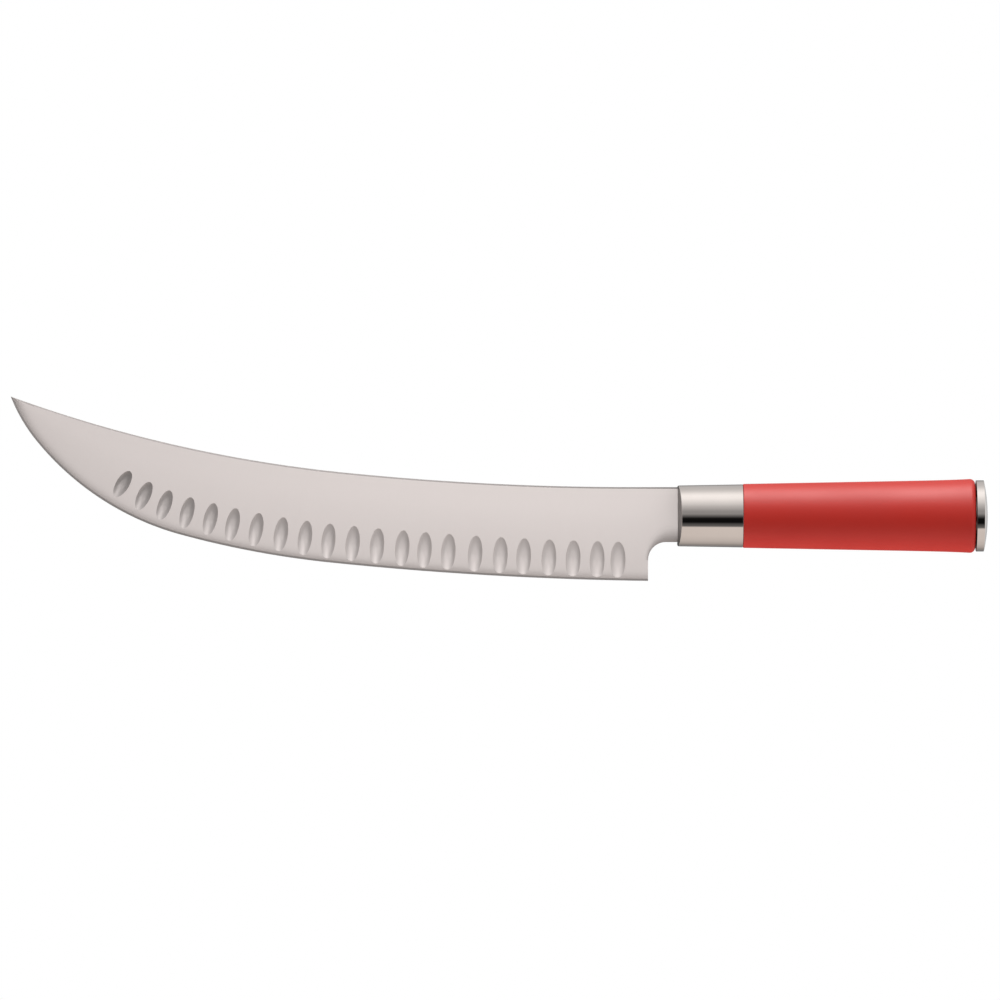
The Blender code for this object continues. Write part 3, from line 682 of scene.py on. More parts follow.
@dataclass
class Blade(Piece):
    """The blade: lofted from edge to spine, cut to its outline, with hollows ground into both sides."""

    NAME = "ground_blade"
    NODE = "blade"
    SLOT = Slot.BLADE
    FINISH = SatinBladeSteel()
    HIGHLIGHTS = (
        Lamp("blade_highlight", 9, 0.4, 2.0, x=-0.17, distance=0.95),
        Lamp("far_blade_highlight", 9, 0.4, 2.0, x=-0.17, distance=0.95, behind=True),
    )
    GRAIN_MAP = "along_and_from_edge"
    HOLLOW_FINISH_AND_SHADE_MASK = "hollow"
    HONED_MASK = "honed"
    RIM_SHADE_MASK = "spine_rim"
    HOLLOW_INDEX = 1
    ROUNDED_INDEX = 2
    # In the grinding wheel's form, whose rim has a radius of 1
    WHEEL_MERGE = 1e-5
    HEIGHT_ERROR = 1e-8
    SHARP_ANGLE = 25

    origin: float
    length: float
    spine_z: float = 0.0112
    spine_straight: float = 0.0176
    spine_rear_radius: float = 1.117
    spine_rear_arc: float = 0.1135
    spine_front_radius: float = 0.538
    heel_setback: float = 0.01175
    heel_drop: float = 0.0253
    heel_angle: float = math.radians(0.717)
    # Radius and length of the edge's arcs, from the heel on; one more runs from them to the tip
    edge_arcs: tuple[Pair, ...] = ((1.372, 0.124), (0.3646, 0.05935), (0.1094, 0.0686))
    neck_drop: float = 0.01018
    choil_radius: float = 0.0070
    neck_end: float = 0.0009
    neck_round_width: float = 0.0011
    neck_round_height: float = 0.0060
    # Where the neck's rounding starts inside the ferrule, and its next section
    neck_round_starts: Pair = (0.0012, -0.0020)
    heel_round_share: float = 0.2
    heel_round_power: float = 0.6
    stock: float = 0.0025
    tip_stock: float = 0.0010
    greatest_flatness: float = 0.35
    taper_start: float = 0.060
    spine_round: float = 0.00025
    land: float = 0.0090
    shoulder_thickness: float = 0.0003
    bevel: float = 0.0008
    blend_width: float = 0.0042
    blend_rise: float = 0.00023
    blend_power: int = 4
    grind_power: float = 1.8
    # The band under the spine's rounding, its own row of the mesh, with painted shade: its height, its share
    # at the heel and at the tip, and how that share falls
    rim_height: float = 0.00035
    painted_rim_shares: Pair = (0.85, 0.28)
    painted_rim_power: float = 0.35
    plunge_start: float = 0.0105
    plunge_end: float = 0.0020
    hollow_first: float = 0.01190
    # Ground by hand, so no two steps from one hollow to the next are quite the same
    hollow_steps: tuple[float, ...] = (
        0.00815, 0.00940, 0.00950, 0.00990, 0.00915, 0.00990, 0.01055, 0.00935, 0.00875, 0.00990, 0.00960,
        0.00960, 0.00940, 0.00970, 0.01005, 0.00965, 0.00910, 0.00965, 0.01005, 0.00965, 0.01035,
    )
    hollow_top: float = 0.0151
    # Each of these at the heel and at the tip; the shares are how much painted shade the hollows get
    hollow_lengths: Pair = (0.0140, 0.0080)
    hollow_length_power: float = 3.5
    hollow_widths: Pair = (0.00545, 0.0050)
    hollow_depths: Pair = (0.00050, 0.00088)
    painted_hollow_shares: Pair = (0.12, 1.53)
    painted_hollow_power: float = 3.4
    painted_hollow_low_share: float = 0.6
    painted_hollow_fade: Pair = (0.003, 0.009)
    hollow_flank_power: float = 3.5
    hollow_top_power: float = 2.9
    hollow_reach: float = 1.35
    tang_height: float = 0.0150
    tang_rear_height: float = 0.0090
    tail_height: float = 0.0052
    tail_length: float = 0.0100
    tang_length: float = 0.0580
    station_pitch: float = 0.0011
    # How much closer together the rows of the grind lie towards the edge
    row_crowding: float = 1.6
    grind_rows: int = 26
    land_rows: int = 5
    round_rows: int = 5
    choil_steps: int = 48
    corner_steps: int = 31
    hollow_sides: int = 48
    hollow_rings: int = 12
    cutter_reach: float = 0.080

    def __post_init__(self) -> None:
        """Works out the cutting edge's arcs, the last of which ends at the tip."""
        start, angle = Vector((-self.heel_setback, -self.heel_drop)), self.heel_angle
        self.arcs = []
        for radius, length in self.edge_arcs:
            self.arcs.append(Arc(start, angle, radius, length))
            start, angle = self.arcs[-1].after(length)
        forward, inward = Arc.ways(angle)
        reach = Vector((-self.length, self.spine_height(-self.length))) - start
        radius = reach.length_squared / (2 * inward.dot(reach))
        length = 2 * radius * math.atan2(inward.dot(reach), forward.dot(reach))
        self.arcs.append(Arc(start, angle, radius, length))
        self.edge_length = sum(arc.length for arc in self.arcs)

    def spine_height(self, x: float) -> float:
        """Height of the spine over the axis at x: a straight run, then two tangent arcs."""
        if x >= -self.spine_straight:
            return self.spine_z
        turned = self.spine_rear_arc / self.spine_rear_radius
        centre = Vector((-self.spine_straight, self.spine_z + self.spine_rear_radius))
        inward = Vector((math.sin(turned), math.cos(turned)))
        joint = centre - self.spine_rear_radius * inward
        radius = self.spine_rear_radius
        if x < joint.x:
            radius = self.spine_front_radius
            centre = joint + radius * inward
        return centre.y - math.sqrt(radius**2 - (x - centre.x) ** 2)

    def edge_at(self, along: float) -> tuple[Vector, float]:
        """The edge's point and angle at a distance from the heel; behind the heel it runs straight on."""
        if along < 0:
            return self.arcs[0].start + Arc.ways(self.heel_angle)[0] * along, self.heel_angle
        for arc in self.arcs[:-1]:
            if along <= arc.length:
                return arc.after(along)
            along -= arc.length
        return self.arcs[-1].after(along)

    def locate(self, point: Vector) -> Pair:
        """A point's distance along the edge from the heel, and its distance from the edge.

        Args:
            point: The point as (x, z), with x from the ferrule's front.

        Returns:
            Both distances.
        """
        passed = 0.0
        for arc in self.arcs:
            forward, inward = Arc.ways(arc.angle)
            out = point - arc.centre()
            along = arc.radius * math.atan2(forward.dot(out), -inward.dot(out))
            if along <= arc.length or arc is self.arcs[-1]:
                break
            passed += arc.length
        return passed + along, arc.radius - out.length

    def height(self, along: float) -> float:
        """How far the spine is from the edge, square to the edge."""
        foot, angle = self.edge_at(along)
        inward = Arc.ways(angle)[1]
        low, high = 0.0, self.length
        while high - low > self.HEIGHT_ERROR:
            middle = (low + high) / 2
            point = foot + inward * middle
            if point.y < self.spine_height(point.x):
                low = middle
            else:
                high = middle
        return low

    def spine_half(self, along: float, height: float) -> float:
        """Half the spine's thickness: full stock at the handle, tapering towards the tip."""
        share = (along - self.taper_start) / (self.edge_length - self.taper_start)
        tapered = self.stock + (self.tip_stock - self.stock) * min(1.0, max(0.0, share))
        return min(tapered / 2, self.greatest_flatness * height)

    def zones(self, height: float) -> Pair:
        """Widths of the bevel and of the flat land beside the spine, where the blade is so high."""
        return min(self.bevel, height / 3), min(self.land, height / 3)

    def half_at(self, along: float, distance: float, height: float) -> float:
        """Half the blade's thickness at a place: flat land, convex grind and bevel."""
        full = self.spine_half(along, height)
        shoulder = min(self.shoulder_thickness / 2, full / 2)
        bevel, land = self.zones(height)
        if distance <= bevel:
            return shoulder * distance / bevel
        if distance >= height - land:
            return full
        fall = (height - land - distance) / (height - land - bevel)
        raised = min(shoulder + self.blend_rise, full)
        ground = raised + (full - raised) * (1 - fall**self.grind_power)
        blend = max(0.0, 1 - (distance - bevel) / self.blend_width) ** self.blend_power
        ground -= (raised - shoulder) * blend
        x = self.edge_at(along)[0].x
        plunge = smoothstep((x + self.plunge_start) / (self.plunge_start - self.plunge_end))
        return ground + (full - ground) * plunge

    def section(self, along: float, x_shift: float = 0.0) -> list[Vector]:
        """One cross-section, square to the edge, from the middle of the spine round the edge and back.

        Args:
            along: The section's distance from the heel.
            x_shift: How far the section is moved along X.

        Returns:
            Its points, the last of which meets the first.
        """
        foot, angle = self.edge_at(along)
        inward = Arc.ways(angle)[1]
        height = self.height(along)
        full = self.spine_half(along, height)
        corner = min(self.spine_round, full / 2)
        bevel, land = self.zones(height)
        side = [(height, 0.0)]
        for row in range(self.round_rows + 1):
            turn_by = QUARTER_TURN * row / self.round_rows
            fallen, inset = corner * (1 - math.cos(turn_by)), corner * (1 - math.sin(turn_by))
            side.append((height - fallen, full - inset))
        rim = corner + min(self.rim_height, (land - corner) / 2)
        for row in range(self.land_rows):
            side.append((height - rim - (land - rim) * row / self.land_rows, full))
        for row in range(self.grind_rows + 1):
            share = (1 - row / self.grind_rows) ** self.row_crowding
            distance = bevel + (height - land - bevel) * share
            side.append((distance, self.half_at(along, distance + MERGE, height)))
        ring = [(distance, -half) for distance, half in side]
        ring.append((0.0, 0.0))
        ring += [(distance, half) for distance, half in reversed(side)]
        points = []
        for distance, y in ring:
            point = foot + inward * distance
            points.append(Vector((point.x + x_shift, y, point.y)))
        return points

    def stations(self) -> list[float]:
        """Distances from the heel of the sections between the neck and the tip."""
        places = [-self.heel_setback + self.plunge_end]
        while places[-1] < -self.station_pitch:
            places.append(places[-1] + self.station_pitch)
        steps = round(self.edge_length / self.station_pitch)
        return places + [self.edge_length * i / steps for i in range(steps + 1)]

    def blank(self) -> Object:
        """The blade's blank: a grid that is wrapped round all sections and merged at tip and spine."""
        rear = -self.heel_setback - 2 * self.plunge_end
        rings = [self.section(rear, self.tang_length + 2 * self.plunge_end), self.section(rear)]
        rings += [self.section(along) for along in self.stations()]
        return mesh_object(self.NAME, wrap(rings))

    def choil_centre(self) -> Vector:
        """Centre of the arc between the heel and the neck's underside."""
        return Vector((-self.heel_setback + self.choil_radius, -self.neck_drop - self.choil_radius))

    def outline_waste(self) -> list[Object]:
        """What is cut from the blank: the choil and all below the neck and tang, and all above the tang."""
        rear = self.tang_length + self.cutter_reach
        tail_start = self.tang_length - self.tail_length
        tang = [
            Vector((self.neck_end, self.tang_height / 2)),
            Vector((tail_start, self.tang_rear_height / 2)),
            Vector((tail_start, self.tail_height / 2)),
            Vector((rear, self.tail_height / 2)),
        ]
        lower = [Vector((-self.heel_setback, -self.cutter_reach))]
        for i in range(self.choil_steps + 1):
            angle = math.pi - QUARTER_TURN * i / self.choil_steps
            way_out = Vector((math.cos(angle), math.sin(angle)))
            lower.append(self.choil_centre() + way_out * self.choil_radius)
        lower.append(Vector((self.neck_end, -self.neck_drop)))
        lower += [Vector((point.x, -point.y)) for point in tang]
        lower.append(Vector((rear, -self.cutter_reach)))
        upper = [Vector((self.neck_end, self.cutter_reach)), *tang, Vector((rear, self.cutter_reach))]
        reach = self.cutter_reach
        tail_end = block(
            "tail_end", Vector((self.tang_length, -reach, -reach)), Vector((2 * reach, reach, reach))
        )
        return [prism("waste_below", lower, reach), prism("waste_above", upper, reach), tail_end]

    def neck_corner(self, side: int) -> Object:
        """What rounds one corner of the neck's underside, less and less of it round the choil."""
        centre = self.choil_centre()
        starts = (*self.neck_round_starts, centre.x)
        path = [(Vector((x, -self.neck_drop)), Vector((0, -1)), 1.0) for x in starts]
        for i in range(1, self.corner_steps + 1):
            turned = i / self.corner_steps
            angle = QUARTER_TURN * (1 + turned)
            way_out = -Vector((math.cos(angle), math.sin(angle)))
            share = 1 + (self.heel_round_share - 1) * smoothstep(turned**self.heel_round_power)
            path.append((centre - way_out * self.choil_radius, way_out, share))
        bm = wrap([self.corner_ring(side, *place) for place in path])
        for face in bm.faces:
            face.material_index = self.ROUNDED_INDEX
        return mesh_object("neck_corner", bm)

    def corner_ring(self, side: int, point: Vector, way_out: Vector, share: float) -> list[Vector]:
        """One section of what rounds the neck's corner.

        Args:
            side: -1 for the photographed side, 1 for the other.
            point: The place on the neck's underside or the choil.
            way_out: The way out of the metal there.
            share: How much of the full rounding is left.

        Returns:
            The section's points, the last of which meets the first.
        """
        along, distance = self.locate(point)
        half = self.half_at(along, distance, self.height(along))
        width, height = self.neck_round_width * share, self.neck_round_height * share
        arc = []
        steps = 2 * self.round_rows
        for i in range(steps + 1):
            angle = QUARTER_TURN * (1 - i / steps)
            arc.append(Vector((half - width + width * math.cos(angle), -height + height * math.sin(angle))))
        # The first and last facets run on by half past the faces that they meet
        arc[0] += (arc[0] - arc[1]) / 2
        arc[-1] += (arc[-1] - arc[-2]) / 2
        reach = self.neck_round_height
        arc += [Vector((half + reach, arc[-1].y)), Vector((half + reach, reach)), Vector((arc[0].x, reach))]
        ring = []
        for across, out in arc:
            place = point + way_out * out
            ring.append(Vector((place.x, side * across, place.y)))
        return ring + ring[:1]

    def hollow_places(self) -> list[float]:
        """Distances from the heel of the hollows on the photographed side."""
        places = [self.hollow_first]
        for step in self.hollow_steps:
            places.append(places[-1] + step)
        return places

    def along_blade(self, values: Pair, along: float, power: float = 1.0) -> float:
        """A value at a distance from the heel, between its values at the heel and at the tip."""
        return values[0] + (values[1] - values[0]) * max(0.0, along / self.edge_length) ** power

    def hollow_frame(self, along: float, side: int) -> Matrix:
        """Where the grinding wheel's form sits for one hollow.

        Args:
            along: The hollow's distance from the heel.
            side: -1 for the side that faces -Y, 1 for the other.

        Returns:
            The matrix that lays the form on the blade.
        """
        foot, angle = self.edge_at(along)
        inward = Arc.ways(angle)[1]
        height = self.height(along)
        length = self.along_blade(self.hollow_lengths, along, self.hollow_length_power)
        width = self.along_blade(self.hollow_widths, along)
        depth = self.along_blade(self.hollow_depths, along)
        ends = []
        for distance in (self.hollow_top - length, self.hollow_top):
            point = foot + inward * distance
            ends.append(Vector((point.x, side * self.half_at(along, distance, height), point.y)))
        up = (ends[1] - ends[0]).normalized()
        across = up.cross(Vector((0, side, 0))).normalized()
        outward = across.cross(up)
        axes = Matrix((across, up, outward)).transposed().to_4x4()
        size = Matrix.Diagonal((width / 2, length / 2, depth, 1))
        return Matrix.Translation((ends[0] + ends[1]) / 2 - outward * depth) @ axes @ size

    def wheel(self) -> bpy.types.Mesh:
        """The grinding wheel's form: a bowl of height 1 at radius 1, with steeper flanks than ends."""
        bm = bmesh.new()
        profile = []
        for i in range(self.hollow_rings + 1):
            share = self.hollow_reach * i / self.hollow_rings
            profile.append(bm.verts.new((share, 0, share**2)))
        spin(bm, profile, (0, 0, 1), self.hollow_sides)
        bmesh.ops.remove_doubles(bm, verts=bm.verts, dist=self.WHEEL_MERGE)
        for vert in bm.verts:
            vert.co.xy *= self.flank_reach(vert.co)
        close_holes(bm)
        bmesh.ops.recalc_face_normals(bm, faces=bm.faces)
        for face in bm.faces:
            face.material_index = self.HOLLOW_INDEX
        mesh = bpy.data.meshes.new("wheel")
        bm.to_mesh(mesh)
        bm.free()
        return mesh

    def flank_reach(self, point: Vector) -> float:
        """How far out a point of the round bowl moves, so that its flanks and its top are steep.

        Args:
            point: The point of the round bowl, whose rim at radius 1 stays where it is.

        Returns:
            The factor of its distance from the bowl's middle.
        """
        radius = point.xy.length
        if radius < MERGE:
            return 1.0
        across, up = point.x / radius, point.y / radius
        power = 2 + (self.hollow_flank_power - 2) * across**2 * smoothstep(1 + up)
        power += (self.hollow_top_power - 2) * max(0.0, up) ** 3
        return radius ** (2 / power - 1)

    def hollow_wheels(self) -> Object:
        """The wheel's form at every hollow; those of the far side lie between those of the near side."""
        wheel = self.wheel()
        places = self.hollow_places()
        between = [(a + b) / 2 for a, b in zip(places, places[1:])]
        bm = bmesh.new()
        for side, along_list in ((-1, places), (1, between)):
            for along in along_list:
                placed = wheel.copy()
                placed.transform(self.hollow_frame(along, side))
                bm.from_mesh(placed)
                bpy.data.meshes.remove(placed)
        bpy.data.meshes.remove(wheel)
        return mesh_object("hollow_wheels", bm)

    def painted_rim_share(self, face: bpy.types.MeshPolygon) -> float:
        """How much painted shade a face gets on the spine's rim and on the neck's rounded corners.

        Args:
            face: A face of the blade.

        Returns:
            A share that falls along the spine towards the tip, and more and more round the neck's corners.
        """
        if face.material_index == self.ROUNDED_INDEX:
            return math.sqrt(1 - min(1.0, face.normal.y**2))
        rim = self.spine_height(face.center.x) - self.spine_round - self.rim_height
        on_rim = face.center.x < 0 and face.center.z > rim
        return on_rim * self.along_blade(self.painted_rim_shares, -face.center.x, self.painted_rim_power)

    def painted_hollow_share(self, along: float, distance: float) -> float:
        """How much of the hollows' painted shade, and of their smoother finish, a place in a hollow has.

        Args:
            along: Its distance from the heel.
            distance: Its distance from the edge.

        Returns:
            The share, which grows towards the tip and fades towards the edge.
        """
        start, end = self.painted_hollow_fade
        risen = smoothstep((distance - start) / (end - start))
        kept = self.painted_hollow_low_share + (1 - self.painted_hollow_low_share) * risen
        return kept * self.along_blade(self.painted_hollow_shares, along, self.painted_hollow_power)

    def mark(self, piece: Object) -> None:
        """Writes the map of distances along and from the edge, the masks of the finish and of painted shade,
        and the sharp lines.
        """
        mesh = piece.data
        places = [self.locate(Vector((v.co.x, v.co.z))) for v in mesh.vertices]
        in_hollow = [face.material_index == self.HOLLOW_INDEX for face in mesh.polygons]
        masks = {self.HOLLOW_FINISH_AND_SHADE_MASK: [], self.HONED_MASK: [], self.RIM_SHADE_MASK: []}
        for face, inside in zip(mesh.polygons, in_hollow):
            masks[self.HOLLOW_FINISH_AND_SHADE_MASK].append(inside * self.painted_hollow_share(*places[face.vertices[0]]))
            on_bevel = all(places[v][1] < self.bevel + ON_SHOULDER for v in face.vertices)
            masks[self.HONED_MASK].append(float(on_bevel))
            masks[self.RIM_SHADE_MASK].append(self.painted_rim_share(face))
        for name, values in masks.items():
            mask = mesh.attributes.new(name, "FLOAT", "FACE")
            mask.data.foreach_set("value", values)
        mesh.polygons.foreach_set("material_index", [0] * len(mesh.polygons))
        for old in list(mesh.uv_layers):
            mesh.uv_layers.remove(old)
        grain = mesh.uv_layers.new(name=self.GRAIN_MAP)
        flat = [value for loop in mesh.loops for value in places[loop.vertex_index]]
        grain.uv.foreach_set("vector", flat)
        shade(piece, self.SHARP_ANGLE)
        beside: dict[tuple[int, int], set[bool]] = {}
        for face, inside in zip(mesh.polygons, in_hollow):
            for key in face.edge_keys:
                beside.setdefault(key, set()).add(inside)
        sharp = mesh.attributes["sharp_edge"]
        for edge in mesh.edges:
            on_shoulder = all(abs(places[v][1] - self.bevel) < ON_SHOULDER for v in edge.vertices)
            if on_shoulder or len(beside.get(tuple(sorted(edge.vertices)), ())) > 1:
                sharp.data[edge.index].value = True

    def build(self) -> Object:
        """Makes the blade.

        Returns:
            The finished mesh object, in its place.
        """
        piece = self.blank()
        for name in ("flat", "hollow", "rounded"):
            piece.data.materials.append(bpy.data.materials.new(name))
        cut(piece, [*self.outline_waste(), self.neck_corner(-1), self.neck_corner(1), self.hollow_wheels()])
        self.mark(piece)
        move_along(piece, self.origin)
        return piece


# Handle


@dataclass
class Ferrule(Piece):
    """The polished sleeve before the grip. Its nose falls back on both sides of the neck's seat."""

    NAME = "polished_ferrule"
    NODE = "ferrule"
    SLOT = Slot.POLISHED
    FINISH = POLISHED_STEEL
    SHARP_ANGLE = 30
    # A normal's x below which a face belongs to a facet of the nose
    FACET_NORMAL = -0.9

    front: float
    length: float
    rear_radius: float
    front_radius: float = 0.01185
    wall: float = 0.0013
    nose_wall: float = 0.0030
    nose_setback: float = 0.0016
    nose_round: float = 0.0003
    front_round: float = 0.0007
    rear_round: float = 0.00015
    seat_depth: float = 0.0014
    seat_half_width: float = 0.0013
    seat_low: float = -0.0103
    seat_high: float = 0.0113
    tang_half_height: float = 0.0078
    tang_half_width: float = 0.00155
    steps: int = 160

    def build(self) -> Object:
        """Makes the ferrule.

        Returns:
            The finished mesh object, in its place.
        """
        bore = self.rear_radius - self.wall
        bore_start = self.nose_setback + self.nose_wall
        outline = [
            Corner(0, 0),
            Corner(0, self.front_radius, self.front_round),
            Corner(self.length, self.rear_radius, self.rear_round),
            Corner(self.length, bore, self.rear_round),
            Corner(bore_start, bore),
            Corner(bore_start, 0),
        ]
        bm = turn(outline, self.steps)
        self.cut_facets(bm)
        piece = mesh_object(self.NAME, bm)
        reach = 2 * self.front_radius
        seat = block(
            "seat",
            Vector((-reach, -self.seat_half_width, self.seat_low)),
            Vector((self.seat_depth, self.seat_half_width, self.seat_high)),
        )
        slot = block(
            "tang_slot",
            Vector((0, -self.tang_half_width, -self.tang_half_height)),
            Vector((bore_start + self.wall, self.tang_half_width, self.tang_half_height)),
        )
        cut(piece, [seat, slot])
        # The nose's facets get painted shade and a rougher milled finish
        mark_front_milled_and_shaded(piece, 1.0)
        shade(piece, self.SHARP_ANGLE, weighted=True)
        move_along(piece, self.front)
        return piece

    def cut_facets(self, bm: BMesh) -> None:
        """Cuts the turned sleeve's nose back on both sides, and rounds the rim of the two facets."""
        fall = self.nose_setback / self.front_radius
        for side in (-1, 1):
            bmesh.ops.bisect_plane(
                bm, geom=bm.verts[:] + bm.edges[:] + bm.faces[:], dist=MERGE, plane_co=(0, 0, 0),
                plane_no=Vector((-1, side * fall, 0)).normalized(), clear_outer=True,
            )
            close_holes(bm)
        bmesh.ops.recalc_face_normals(bm, faces=bm.faces)
        rim = []
        for edge in bm.edges:
            in_facet = sorted(face.normal.x < self.FACET_NORMAL for face in edge.link_faces)
            near_nose = max(v.co.x for v in edge.verts) < 2 * self.nose_setback
            if in_facet == [False, True] and near_nose:
                rim.append(edge)
        round_edges(bm, rim, self.nose_round)


@dataclass
class Grip(Piece):
    """The red moulded grip, bored for the rod and the nut's well."""

    NAME = "moulded_grip"
    NODE = "grip"
    SLOT = Slot.GRIP
    FINISH = RED_PLASTIC
    HIGHLIGHTS = (Lamp("grip_highlight", 80, 1.4, 72.0, x=-0.05385),)
    SHARP_ANGLE = 35

    front: float
    rear: float
    spigot_front: float
    rear_radius: float
    front_radius: float = 0.01246
    flare: float = 0.00030
    flare_power: int = 12
    front_round: float = 0.00025
    rear_round: float = 0.0020
    spigot_radius: float = 0.01068
    spigot_round: float = 0.0004
    bore_radius: float = 0.0033
    well_radius: float = 0.0080
    well_depth: float = 0.0205
    recess_radius: float = 0.0107
    recess_depth: float = 0.0019
    taper_steps: int = 40
    rear_round_steps: int = 10
    steps: int = 160

    def radius(self, share: float) -> float:
        """The grip's radius at a share of its length: a straight taper that flares at the butt."""
        taper = self.rear_radius - self.front_radius - self.flare
        return self.front_radius + taper * share + self.flare * share**self.flare_power

    def build(self) -> Object:
        """Makes the grip.

        Returns:
            The finished mesh object, in its place.
        """
        body_end = self.rear - self.rear_round
        outline = [
            Corner(self.spigot_front, self.bore_radius),
            Corner(self.spigot_front, self.spigot_radius, self.spigot_round),
            Corner(self.front, self.spigot_radius),
            Corner(self.front, self.front_radius, self.front_round),
        ]
        for i in range(1, self.taper_steps + 1):
            # Closer together towards the flare
            share = 1 - (1 - i / self.taper_steps) ** 2
            outline.append(Corner(self.front + (body_end - self.front) * share, self.radius(share)))
        for i in range(1, self.rear_round_steps + 1):
            angle = QUARTER_TURN * i / self.rear_round_steps
            fallen = self.rear_round * (1 - math.cos(angle))
            outline.append(Corner(body_end + self.rear_round * math.sin(angle), self.rear_radius - fallen))
        outline += [
            Corner(self.rear, self.recess_radius),
            Corner(self.rear - self.recess_depth, self.recess_radius),
            Corner(self.rear - self.recess_depth, self.well_radius),
            Corner(self.rear - self.well_depth, self.well_radius),
            Corner(self.rear - self.well_depth, self.bore_radius),
        ]
        return self.turned(outline, self.steps)


@dataclass
class EndCap(Piece):
    """The polished cap: a short side, a shallow dome with a small flat, and a hollow stem in the grip."""

    NAME = "polished_end_cap"
    NODE = "end_cap"
    SLOT = Slot.POLISHED
    FINISH = POLISHED_STEEL
    # Hung behind the butt, where the dome mirrors it
    HIGHLIGHTS = (Lamp("cap_highlight", 0, 0.85, 0.9, x=0.62, behind=True),)
    SHARP_ANGLE = 30

    stem_front: float
    butt: float
    radius: float
    side: float = 0.0030
    dome: float = 0.0014
    flat_radius: float = 0.0040
    rounding: float = 0.00012
    stem_radius: float = 0.0077
    stem_bore: float = 0.0050
    floor: float = 0.0045
    # How much painted shade and rougher milled finish the cap's back gets, in the gap to the grip
    back_milled_and_shaded: float = 0.8
    dome_steps: int = 20
    steps: int = 160

    def build(self) -> Object:
        """Makes the end cap.

        Returns:
            The finished mesh object, in its place.
        """
        back = self.butt - self.side - self.dome
        rim = back + self.side
        outline = [
            Corner(self.stem_front, self.stem_bore),
            Corner(self.stem_front, self.stem_radius, self.rounding),
            Corner(back, self.stem_radius),
            Corner(back, self.radius, self.rounding),
            Corner(rim, self.radius, self.rounding),
        ]
        for i in range(1, self.dome_steps + 1):
            radius = self.radius + (self.flat_radius - self.radius) * i / self.dome_steps
            fallen = (radius**2 - self.flat_radius**2) / (self.radius**2 - self.flat_radius**2)
            outline.append(Corner(self.butt - self.dome * fallen, radius))
        bore_end = rim - self.floor
        outline += [Corner(self.butt, 0), Corner(bore_end, 0), Corner(bore_end, self.stem_bore)]
        piece = self.turned(outline, self.steps)
        mark_front_milled_and_shaded(piece, self.back_milled_and_shaded)
        return piece


@dataclass
class SealRing(Piece):
    """The rubber ring between the grip and the end cap."""

    NAME = "rubber_seal_ring"
    NODE = "cap_seal"
    SLOT = Slot.SEAL
    FINISH = BLACK_RUBBER
    SHARP_ANGLE = 35

    front: float
    rear: float
    radius: float
    bore: float = 0.0080
    rounding: float = 0.0004
    steps: int = 96

    def build(self) -> Object:
        """Makes the ring.

        Returns:
            The finished mesh object, in its place.
        """
        front, rear = self.front, self.rear
        places = ((front, self.bore), (front, self.radius), (rear, self.radius), (rear, self.bore))
        return self.turned([Corner(x, radius, self.rounding) for x, radius in places], self.steps)


# Studio


